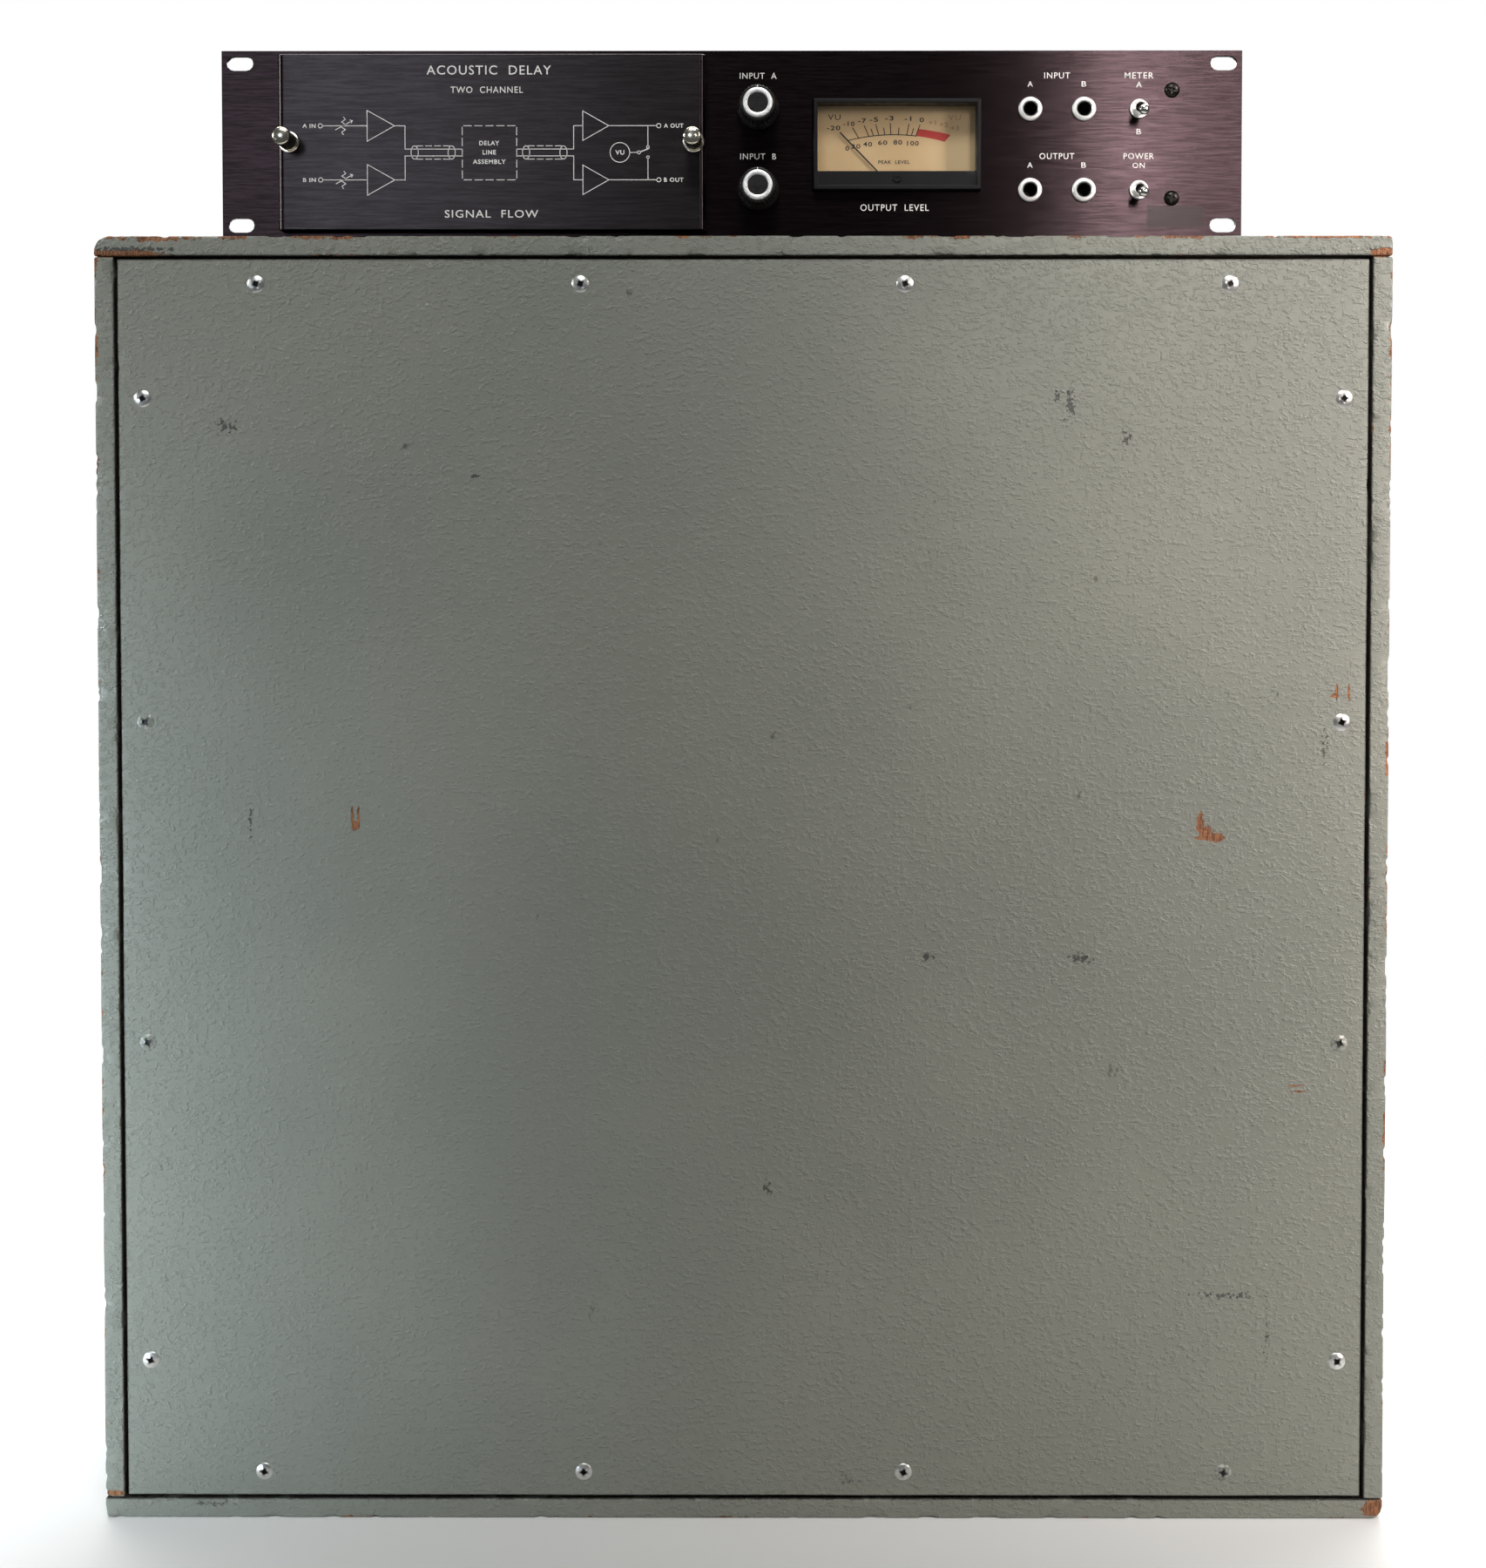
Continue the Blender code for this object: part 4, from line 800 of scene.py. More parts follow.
hose_skin, tree, shader = handled("green_hose", (0.045, 0.16, 0.070), 0.38, 40.0, 0.3, 0.55)
ribs = sums(tree, "SINE", sums(tree, "MULTIPLY", noise_at(tree, 60.0, 1.0), 60.0))
bump(tree, shader, ribs, 0.0001, 0.4)
for letter, length in HOSE_LENGTHS.items():
    low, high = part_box("delay_hose_" + letter)
    radius = (high.x - low.x) / 2 - HOSE_RADIUS
    turns = length / (2 * pi * radius)
    steps = round(turns * 64)
    start, end = low.y + HOSE_RADIUS, high.y - HOSE_RADIUS
    points = []
    for i in range(steps + 1):
        angle = 2 * pi * turns * i / steps - pi / 2
        points.append((radius * cos(angle), start + (end - start) * i / steps,
                       middle_z + radius * sin(angle)))
    run = dots("delay_hose_" + letter + "_wound", points)
    run.data.edges.add(steps)
    for i, edge in enumerate(run.data.edges):
        edge.vertices = (i, i + 1)
    hose = grow(run, tube_along, hose_skin, Radius=HOSE_RADIUS * 0.985, Sides=16)
    hose.data.shade_smooth()
    fit_out(hose, "cabinet", "hose", "delay_hose_" + letter)
capsule_plastic = handled("capsule_plastic", (0.02, 0.02, 0.022), 0.4, 200.0, 0.3, 0.5)[0]
dress(capsule_plastic, "black_plastic", "hose_driver_a", "hose_driver_b", "hose_pickup_a",
      "hose_pickup_b")

# ---------------------------------------------------------------- line connectors
# One round multi-pole connector in the back of the cabinet and one in the back of the chassis,
# for the lead that joins them: plated shells with a black insulator and six pins.

PIN_RADIUS = 0.0010
PIN_CIRCLE = 0.0044
sheet_plating = bright_metal("passivated_sheet", (0.60, 0.58, 0.52), 34.0, 0.40, 0.47,
                             (0.46, 0.41, 0.30), 0.22)
shell_plating = bright_metal("shell_plating", (0.66, 0.65, 0.62), 150.0, 0.28, 0.5)
insulator_plastic = handled("insulator", (0.015, 0.014, 0.013), 0.45, 300.0, 0.3, 0.6)[0]
for node_name, body in (("cabinet_socket", "cabinet"), ("line_socket", "rack_unit")):
    low, high, x, z = centred(node_name)
    mouth, back = high.y, low.y
    flange, barrel, bore = (high.x - low.x) / 2, 0.0095, 0.0075
    seat = mouth - 0.0037
    shell = spin(node_name + "_shell", [
        (0, back), (barrel, back), (barrel, seat), (flange - 0.0004, seat),
        (flange, seat + 0.0004), (flange, seat + 0.0013), (flange - 0.0004, seat + 0.0017),
        (barrel, seat + 0.0017), (barrel, mouth - 0.0003), (barrel - 0.0003, mouth),
        (bore + 0.0003, mouth), (bore, mouth - 0.0003), (bore, back + 0.003),
        (0, back + 0.003)], x, 0, z, 64, shell_plating)
    fit_out(shell, body, "plated_steel", node_name)
    floor_y = back + 0.0031
    disc = spin(node_name + "_insulator", [
        (0, floor_y), (bore - 0.0002, floor_y), (bore - 0.0002, floor_y + 0.005),
        (0, floor_y + 0.005)], x, 0, z, 48, insulator_plastic)
    fit_out(disc, body, "black_plastic")
    for number in range(6):
        angle = 2 * pi * number / 6
        pin = spin("%s_pin_%d" % (node_name, number + 1), [
            (0, floor_y + 0.0051), (PIN_RADIUS, floor_y + 0.0051), (PIN_RADIUS, mouth - 0.0045),
            (PIN_RADIUS * 0.5, mouth - 0.0035), (0, mouth - 0.0035)],
            x + PIN_CIRCLE * cos(angle), 0, z + PIN_CIRCLE * sin(angle), 16, shell_plating)
        fit_out(pin, body, "plated_steel")

# ---------------------------------------------------------------- chassis
# A folded steel tray whose front is screwed behind the panel, and a lid with short lips held by
# self-tapping screws along each side. Both are passivated sheet, and dust has dulled the lid.


def softened(name, node_name, width, material, segments=2):
    """A copy of a CAD node with its sharp edges broken by a small bevel."""
    item = place_new(name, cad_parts[node_name].data.copy())
    shape = bmesh.new()
    shape.from_mesh(item.data)
    bmesh.ops.remove_doubles(shape, verts=shape.verts, dist=1e-6)
    bmesh.ops.dissolve_limit(shape, angle_limit=radians(1), verts=shape.verts, edges=shape.edges)
    shape.to_mesh(item.data)
    shape.free()
    if "custom_normal" in item.data.attributes:
        item.data.attributes.remove(item.data.attributes["custom_normal"])
    broken = item.modifiers.new("broken_edges", "BEVEL")
    broken.width = width
    broken.segments = segments
    broken.limit_method = "ANGLE"
    broken.angle_limit = radians(50)
    mesh = keep_mesh(item, material).data
    mesh.shade_smooth()
    mesh.set_sharp_from_angle(angle=radians(30))
    for polygon in mesh.polygons:
        polygon.use_smooth = max(abs(part) for part in polygon.normal) < 0.9999
    return item


fit_out(softened("chassis_tray_folded", "chassis_tray", 0.0003, sheet_plating), "rack_unit",
        "plated_steel", "chassis_tray")
dull_sheet = bright_metal("dusty_sheet", (0.21, 0.205, 0.19), 34.0, 0.52, 0.62,
                          (0.15, 0.14, 0.12), 0.14)
fit_out(softened("chassis_lid_folded", "chassis_lid", 0.0004, dull_sheet), "rack_unit",
        "plated_steel", "chassis_lid")
low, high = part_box("chassis_lid")
head = spin("small_pan_head", [(0, 0), (0.0014, 0.0001), (0.0024, 0.0006), (0.0027, 0.0011),
                               (0.0027, 0.0015), (0, 0.0015)], steps=24)
for side, x, facing in (("left", low.x - 0.0011, -pi / 2), ("right", high.x + 0.0011, pi / 2)):
    places = [(x, low.y + 0.020 + number * (high.y - low.y - 0.040) / 3, high.z - 0.0055)
              for number in range(4)]
    screws = grow(dots("lid_screws_" + side, places), cross_head, zinc, Head=head,
                  Recess_Width=0.0030, Recess_Slot=0.0007, Recess_Depth=0.0007, Seed=2,
                  Facing=facing)
    fit_out(screws, "rack_unit", "plated_steel")
drop(head)

# ---------------------------------------------------------------- rack panel
# An aluminium plate of rack size, brushed along its length and anodised a purplish black, with
# white screened lettering. A dull rectangle at its lower right shows where tape has been.

low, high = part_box("rack_panel")
panel_middle = Vector(((low.x + high.x) / 2, low.y, (low.z + high.z) / 2))

# fine scratches left by brushing, long along the stretch's smallest number
brushing, given, made = new_group(
    "brushing", [("Stretch", "Vector", (1.0, 1.0, 60.0)), ("Scale", "Float", 30.0)],
    [("Streak", "Float"), ("Height", "Float")])
place = object_place(brushing)
along = vectors(brushing, "MULTIPLY", place, given["Stretch"])
long_streak = noise_on(brushing, along, given["Scale"], 3.0)
hair = noise_on(brushing, along, sums(brushing, "MULTIPLY", given["Scale"], 3.7), 2.0)
both = sums(brushing, "MULTIPLY_ADD", long_streak, 0.6, sums(brushing, "MULTIPLY", hair, 0.4))
brushing.links.new(ramp(brushing, both, 0.36, 0.66), made["Streak"])
brushing.links.new(both, made["Height"])


def anodised(name, dark, light, low_rough, high_rough, patches=()):
    """Brushed and dyed aluminium. Patches are (x, z, half width, half height) rubbed dull."""
    material, tree, shader = new_finish(name, dark, low_rough, 1.0)
    lines = effect(tree, brushing, Stretch=(1.0, 1.0, 18.0), Scale=60.0)
    marks = effect(tree, smudges, Scale=22.0, Low=low_rough, High=high_rough)
    colour = blend_colour(tree, lines["Streak"], (*dark, 1.0), (*light, 1.0))
    rough = marks["Roughness"]
    for x, z, wide, tall in patches:
        place = object_place(tree)
        off = vectors(tree, "SUBTRACT", place, (panel_middle.x + x, 0, panel_middle.z + z))
        off = put(tree, "ShaderNodeSeparateXYZ", {0: vectors(tree, "ABSOLUTE", off)}).outputs
        edge = sums(tree, "MAXIMUM", sums(tree, "SUBTRACT", off[0], wide),
                    sums(tree, "SUBTRACT", off[2], tall))
        torn = sums(tree, "MULTIPLY_ADD", noise_at(tree, 500.0, 3.0), 0.0012, edge)
        mask = ramp(tree, torn, 0.0004, 0.0008, 1.0, 0.0)
        colour = blend_colour(tree, sums(tree, "MULTIPLY", mask, 0.55), colour,
                              (0.021, 0.019, 0.0185, 1.0))
        rough = sums(tree, "MULTIPLY_ADD", mask, 0.05, rough)
    upright = put(tree, "ShaderNodeCombineXYZ", {2: 1.0}).outputs[0]
    feed(tree, shader, Base_Color=colour, Roughness=rough, Tangent=upright)
    shader.inputs["Anisotropic"].default_value = 0.85
    bump(tree, shader, lines["Height"], 0.00002, 0.7)
    return material


panel_metal = anodised("panel_anodising", (0.0115, 0.0078, 0.0086), (0.0235, 0.0161, 0.0176),
                       0.215, 0.235, ((0.2100, -0.0342, 0.0135, 0.0052),))
fit_out(softened("rack_panel_plate", "rack_panel", 0.00035, panel_metal), "rack_unit",
        "panel_anodising", "rack_panel")


def ribbon(points, width, closed=False):
    """A thin flat line of ink through (x, z) points, mitred at its bends: points and faces."""
    path = [Vector(p) for p in points]
    count = len(path)
    sides = []
    for i, here in enumerate(path):
        before = path[i - 1] if i or closed else here
        after = path[(i + 1) % count] if i < count - 1 or closed else here
        runs = [run.normalized() for run in (here - before, after - here) if run.length > 1e-9]
        way = sum(runs, Vector((0, 0))).normalized()
        side = Vector((-way.y, way.x))
        mitre = max(0.35, abs(side.dot(Vector((-runs[0].y, runs[0].x)))))
        sides.append((here + side * width / 2 / mitre, here - side * width / 2 / mitre))
    corners = []
    for left, right in sides:
        for y in (0.0, -INK_DEPTH):
            corners += [(left.x, y, left.y), (right.x, y, right.y)]
    faces = []
    for i in range(count if closed else count - 1):
        a, b = 4 * i, 4 * ((i + 1) % count)
        for one, two in ((0, 1), (1, 3), (3, 2), (2, 0)):
            faces.append((a + one, a + two, b + two, b + one))
    if not closed:
        faces += [(0, 2, 3, 1), tuple(4 * (count - 1) + k for k in (0, 1, 3, 2))]
    return corners, faces


def ring_points(x, z, wide, tall=None, steps=28):
    """Points round a circle, or round an ellipse when tall is given."""
    tall = wide if tall is None else tall
    return [(x + wide * cos(2 * pi * i / steps), z + tall * sin(2 * pi * i / steps))
            for i in range(steps)]


def letters(text, x, z, tall, wide):
    """Flat letters that fill a box, as a mesh with its face at y = -INK_DEPTH."""
    curve = bpy.data.curves.new("letters", "FONT")
    curve.body = text
    curve.extrude = INK_DEPTH / 2
    curve.resolution_u = 3
    curve.space_character = 1.15
    curve.offset = 0.003 if tall > 0.0024 else 0.020
    item = place_new("letters", curve)
    mesh = made_mesh(item)
    drop(item)
    places = np.array([v.co for v in mesh.vertices])
    small, large = places.min(0), places.max(0)
    scale = Vector((wide / (large[0] - small[0]), tall / (large[1] - small[1]), 1))
    centre = Vector(((small[0] + large[0]) / 2, (small[1] + large[1]) / 2, -INK_DEPTH / 2))
    mesh.transform(Matrix.Translation((x, 0, z)) @ Matrix.Rotation(pi / 2, 4, "X")
                   @ Matrix.Diagonal((*scale, 1)) @ Matrix.Translation(-centre))
    return mesh


def printed(name, face, material, texts=(), lines=()):
    """Lettering and lines as one piece on a face: face is the point that they're measured from.

    Texts are (text, x, z, height, width) and lines (points, width, closed).
    """
    shape = bmesh.new()
    for text in texts:
        mesh = letters(*text)
        shape.from_mesh(mesh)
        bpy.data.meshes.remove(mesh)
    for points, width, closed in lines:
        corners, faces = ribbon(points, width, closed)
        fresh = [shape.verts.new(corner) for corner in corners]
        for face_corners in faces:
            shape.faces.new([fresh[k] for k in face_corners])
    bmesh.ops.remove_doubles(shape, verts=shape.verts, dist=2e-7)
    bmesh.ops.recalc_face_normals(shape, faces=shape.faces)
    bmesh.ops.translate(shape, verts=shape.verts, vec=face)
    mesh = bpy.data.meshes.new(name)
    shape.to_mesh(mesh)
    shape.free()
    mesh.materials.append(material)
    return place_new(name, mesh)


def two_tone(name, roughness, one, two, scale, detail, low=0.0, high=1.0):
    """A finish that is mostly one colour and drifts to another where its noise is strong."""
    material, tree, shader = new_finish(name, one, roughness)
    drift = noise_at(tree, scale, detail)
    if low:
        drift = ramp(tree, drift, low, high)
    feed(tree, shader, Base_Color=blend_colour(tree, drift, (*one, 1.0), (*two, 1.0)))
    return material


white_ink = two_tone("white_screen_ink", 0.5, (0.82, 0.81, 0.78), (0.535, 0.515, 0.505), 900.0,
                     3.0, 0.66, 0.76)
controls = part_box("input_jack_a"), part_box("input_jack_b"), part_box("meter_switch")
jack_a, jack_b, switch_x = [(a.x + b.x) / 2 - panel_middle.x for a, b in controls]
knob_x = sum(p.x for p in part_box("input_a_knob")) / 2 - panel_middle.x
meter_x = sum(p.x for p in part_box("meter_window")) / 2 - panel_middle.x
TALL, SHORT = 0.0028, 0.0025
panel_words = [
    ("INPUT  A", knob_x, 0.0322, TALL, 0.0174), ("INPUT  B", knob_x, -0.0057, TALL, 0.0170),
    ("OUTPUT  LEVEL", meter_x - 0.001, -0.0298, 0.0031, 0.0324),
    ("INPUT", (jack_a + jack_b) / 2, 0.0323, TALL, 0.0122),
    ("OUTPUT", (jack_a + jack_b) / 2, -0.0056, TALL, 0.0165),
    ("METER", switch_x, 0.0323, TALL, 0.0136), ("POWER", switch_x, -0.0056, TALL, 0.0143),
    ("ON", switch_x, -0.0100, SHORT, 0.0057), ("A", switch_x, 0.0281, SHORT, 0.0025),
    ("B", switch_x, 0.0059, SHORT, 0.0022),
]
for z in (0.0283, -0.0098):
    panel_words += [("A", jack_a, z, SHORT, 0.0025), ("B", jack_b, z, SHORT, 0.0022)]
fit_out(printed("panel_lettering", panel_middle, white_ink, panel_words), "rack_unit",
        "panel_anodising")

# ---------------------------------------------------------------- panel screws
# Two cross-recessed pan heads at the right, blackened steel, go through the panel into the
# chassis flange.

black_oxide = bright_metal("black_oxide", (0.035, 0.033, 0.032), 300.0, 0.25, 0.45,
                           (0.09, 0.07, 0.06), 0.6)
for node_name in ("panel_screw_upper", "panel_screw_lower"):
    low, high, x, z = centred(node_name)
    radius, crown = (high.x - low.x) / 2, panel_middle.y - low.y
    head = spin("pan_head", [
        (0, 0), (radius * 0.45, 0.0001), (radius * 0.75, crown * 0.22), (radius * 0.93, crown * 0.5),
        (radius, crown * 0.8), (radius, crown - 0.0003), (0.0020, crown - 0.0003),
        (0.0020, high.y - low.y), (0, high.y - low.y)])
    screw = grow(dots(node_name + "_driven", [(x, low.y, z)]), cross_head, black_oxide, Head=head,
                 Recess_Width=0.0042, Recess_Slot=0.00095, Recess_Depth=0.0013,
                 Seed=len(node_name))
    drop(head)
    fit_out(screw, "rack_unit", "black_screw", node_name)

# ---------------------------------------------------------------- access cover
# A sheet of the same brushed metal, dyed a little browner, its two sides bent back to stand off
# the panel. The signal diagram is screened on it in white, like the panel's lettering.

cover_low, cover_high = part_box("access_cover")
cover_metal = anodised("cover_anodising", (0.026, 0.021, 0.0225), (0.040, 0.034, 0.036),
                       0.255, 0.28)
COVER_SHEET = 0.0016
COVER_BEND = 0.0030
outline = []
for sheet in (0.0, COVER_SHEET):
    bend = COVER_BEND - sheet
    half = []
    for i in range(13):
        angle = pi / 2 * i / 12
        half.append((bend * (1 - cos(angle)) + sheet, sheet + bend * (1 - sin(angle))))
    half.append((COVER_BEND + 0.001, sheet))
    side = [(cover_low.x + sheet, cover_high.y)]
    side += [(cover_low.x + u, cover_low.y + v) for u, v in half]
    side += [(cover_high.x - u, cover_low.y + v) for u, v in half[::-1]]
    side.append((cover_high.x - sheet, cover_high.y))
    outline += side if not sheet else side[::-1]
count = len(outline)
break_edge = 0.0003
layers = ((cover_low.z, break_edge), (cover_low.z + break_edge, 0.0),
          (cover_high.z - break_edge, 0.0), (cover_high.z, break_edge))
half_count = count // 2
points, faces = [], []
for z, inset in layers:
    for i, (x, y) in enumerate(outline):
        partner = Vector(outline[count - 1 - i]) - Vector((x, y))
        moved = Vector((x, y)) + partner.normalized() * inset
        points.append((moved.x, moved.y, z))
for layer in range(len(layers) - 1):
    a, b = layer * count, (layer + 1) * count
    faces += [(a + i, a + (i + 1) % count, b + (i + 1) % count, b + i) for i in range(count)]
for start in (0, (len(layers) - 1) * count):
    faces += [(start + i, start + i + 1, start + count - 2 - i, start + count - 1 - i)
              for i in range(half_count - 1)]
sheet_metal = mesh_object("access_cover_sheet", points, faces, cover_metal, 30.0)
fit_out(sheet_metal, "access_cover", "cover_anodising", "access_cover")

LINE = 0.00034
cover_middle_x = (cover_low.x + cover_high.x) / 2 - panel_middle.x
row_a, row_b = 0.0075, -0.0178
line_a, line_b = -0.0034, -0.0066
line_middle = (line_a + line_b) / 2
strokes = []


def stroke(*points, closed=False, width=LINE):
    strokes.append((list(points), width, closed))


def dashed(start, end, count):
    """A broken line of so many dashes between two points."""
    one, two = Vector(start), Vector(end)
    for i in range(count):
        a, b = (i + 0.12) / count, (i + 0.88) / count
        stroke(tuple(one.lerp(two, a)), tuple(one.lerp(two, b)))


TERMINAL = 0.0010
box_left, box_right = -0.1264, -0.1008
out_bus, in_bus = -0.0740, -0.1533
for row, line in ((row_a, line_a), (row_b, line_b)):
    # terminal, level control and drive amplifier
    stroke(*ring_points(-0.1931, row, TERMINAL, steps=16), closed=True)
    stroke((-0.1921, row), (-0.1711, row))
    zig = [(-0.1822 + (0.0009 if k % 2 else -0.0009) * (0 < k < 7), row + 0.0042 - 0.0012 * k)
           for k in range(8)]
    stroke(*zig)
    stroke((-0.1860, row - 0.0019), (-0.1784, row + 0.0022))
    stroke((-0.1793, row + 0.0027), (-0.1780, row + 0.0024), (-0.1786, row + 0.0012))
    stroke((-0.1711, row + 0.0072), (-0.1582, row), (-0.1711, row - 0.0072), closed=True)
    stroke((-0.1580, row), (in_bus, row), (in_bus, line), (box_left, line))
    # recovery amplifier and output terminal
    stroke((box_right, line), (out_bus, line), (out_bus, row), (-0.0697, row))
    stroke((-0.0697, row + 0.0069), (-0.0575, row), (-0.0697, row - 0.0069), closed=True)
    stroke((-0.0573, row), (-0.0351, row))
    stroke(*ring_points(-0.0340, row, TERMINAL, steps=16), closed=True)
for row in (row_a, row_b):
    dashed((box_left, row), (box_right, row), 5)
for x in (box_left, box_right):
    dashed((x, row_a), (x, row_b), 5)
for left, right in ((-0.1488, -0.1314), (-0.0964, -0.0788)):
    for x in (left, right):
        stroke(*ring_points(x, line_middle, 0.0017, 0.0031, 24), closed=True)
    for z in (line_middle + 0.0031, line_middle - 0.0031):
        dashed((left + 0.0003, z), (right - 0.0003, z), 4)
# the meter, its change-over switch and the taps to both outputs
tap, pole = -0.0391, -0.0433
stroke(*ring_points(-0.0523, line_middle, 0.0046, steps=32), closed=True)
stroke((-0.0477, line_middle), (pole - 0.0008, line_middle))
stroke(*ring_points(pole, line_middle, 0.0007, steps=14), closed=True)
stroke((pole + 0.0007, line_middle + 0.0003), (tap + 0.0006, line_middle + 0.0019), width=0.0005)
for contact, row in ((line_middle + 0.0026, row_a), (line_middle - 0.0022, row_b)):
    stroke(*ring_points(tap, contact, 0.0006, steps=14), closed=True)
    stroke((tap, contact + (0.0007 if row > contact else -0.0007)), (tap, row))
cover_words = [
    ("ACOUSTIC  DELAY", cover_middle_x - 0.001, 0.0335, 0.0043, 0.0585),
    ("TWO  CHANNEL", cover_middle_x - 0.002, 0.0243, 0.0030, 0.0340),
    ("SIGNAL  FLOW", cover_middle_x, -0.0337, 0.0036, 0.0440),
    ("A IN", -0.1984, row_a, 0.0019, 0.0062), ("B IN", -0.1984, row_b, 0.0019, 0.0060),
    ("A OUT", -0.0270, row_a, 0.0020, 0.0092), ("B OUT", -0.0270, row_b, 0.0020, 0.0092),
    ("DELAY", -0.1137, -0.0006, 0.0021, 0.0094), ("LINE", -0.1137, -0.0049, 0.0021, 0.0062),
    ("ASSEMBLY", -0.1137, -0.0093, 0.0021, 0.0155), ("VU", -0.0523, line_middle, 0.0021, 0.0042),
]
cover_face = Vector((panel_middle.x, cover_low.y, panel_middle.z))
fit_out(printed("cover_diagram", cover_face, white_ink, cover_words, strokes), "access_cover",
        "cover_anodising")

# ---------------------------------------------------------------- thumbscrews
# Turned and nickel-plated captive screws with a diamond knurl and a domed end. One holds each
# side of the access cover, standing on a small collar.

serrated, given, result = new_geometry_tree("serrated", [
    ("Centre", "Vector"), ("From", "Float"), ("To", "Float"), ("Count", "Float"),
    ("Twist", "Float"), ("Depth", "Float"), ("Material", "Material")])
place = put(serrated, "GeometryNodeInputPosition").outputs[0]
out = vectors(serrated, "SUBTRACT", place, given["Centre"])
out = vectors(serrated, "MULTIPLY", out, (1, 0, 1))
radial = vectors(serrated, "NORMALIZE", out)
parts = put(serrated, "ShaderNodeSeparateXYZ", {0: out}).outputs
depth_y = put(serrated, "ShaderNodeSeparateXYZ", {0: place}).outputs[1]
angle = sums(serrated, "ARCTAN2", parts[2], parts[0])
around = sums(serrated, "MULTIPLY", angle, sums(serrated, "MULTIPLY", given["Count"], 0.5))
lean = sums(serrated, "MULTIPLY", depth_y, given["Twist"])
grooves = []
for operation in ("ADD", "SUBTRACT"):
    wave = sums(serrated, "ABSOLUTE", sums(serrated, "COSINE",
                                           sums(serrated, operation, around, lean)))
    grooves.append(sums(serrated, "POWER", wave, 2.5))
groove = sums(serrated, "MAXIMUM", *grooves)
after = sums(serrated, "GREATER_THAN", depth_y, given["From"])
before = sums(serrated, "LESS_THAN", depth_y, given["To"])
solid = sums(serrated, "GREATER_THAN", length_of(serrated, out), 0.0008)
amount = sums(serrated, "MULTIPLY", sums(serrated, "MULTIPLY", groove, given["Depth"]),
              sums(serrated, "MULTIPLY", solid, sums(serrated, "MULTIPLY", after, before)))
shift = put(serrated, "ShaderNodeVectorMath", {0: radial, "Scale": sums(
    serrated, "MULTIPLY", amount, -1.0)}, operation="SCALE").outputs[0]
moved = put(serrated, "GeometryNodeSetPosition", {"Geometry": given["Geometry"], "Offset": shift})
end_tree(serrated, moved.outputs[0], given, result)


def rows(radius, start, end, count):
    """Points along a straight side, close enough together to carry serrations."""
    return [(radius, start + (end - start) * i / count) for i in range(count + 1)]


nickel = bright_metal("worn_nickel", (0.66, 0.62, 0.52), 240.0, 0.12, 0.28, (0.36, 0.29, 0.16),
                      0.45)
for node_name in ("thumbscrew_left", "thumbscrew_right"):
    low, high, x, z = centred(node_name)
    tip, seat = low.y, cover_low.y - 0.0003
    rim = seat - 0.0012
    neck = rim - 0.0010
    r = 0.0041
    dome = [(r * sin(a), tip + 0.0014 * (1 - cos(a))) for a in np.linspace(0, pi / 2, 8)[1:]]
    profile = [(0, tip)] + dome + rows(r, tip + 0.0020, neck - 0.0008, 36)
    profile += [(r - 0.0006, neck), (0.0026, neck), (0.0026, rim), (0.0047, rim),
                (0.0050, rim + 0.0003), (0.0050, seat), (0.0020, seat),
                (0.0020, high.y - 0.0005), (0.0015, high.y), (0, high.y)]
    screw = spin(node_name + "_knurled", profile, x, 0, z, 120)
    screw = grow(screw, serrated, nickel, Centre=(x, 0, z), From=tip + 0.0032, To=neck - 0.0012,
                 Count=30.0, Twist=3600.0, Depth=0.00028)
    screw.data.set_sharp_from_angle(angle=radians(40))
    fit_out(screw, node_name, "bright_nickel", node_name)

# ---------------------------------------------------------------- level knobs
# Moulded black phenolic with fluted sides and a wide skirt, a spun bright ring let into the face
# and a short white pointer above it. Each turns its potentiometer's shaft.



def moulded(name, colour, dust, sheen, scale, low, high, grain, relief, strength):
    """Moulded black plastic, handled and a little dusty. Dust is (its colour, how much)."""
    material, tree, shader = new_finish(name, colour, low, Specular_IOR_Level=sheen)
    marks = effect(tree, smudges, Scale=scale, Low=low, High=high)
    dusty = sums(tree, "MULTIPLY", marks["Mask"], dust[1])
    feed(tree, shader, Roughness=marks["Roughness"],
         Base_Color=blend_colour(tree, dusty, (*colour, 1.0), (*dust[0], 1.0)))
    bump(tree, shader, noise_at(tree, grain, 2.0), relief, strength)
    return material


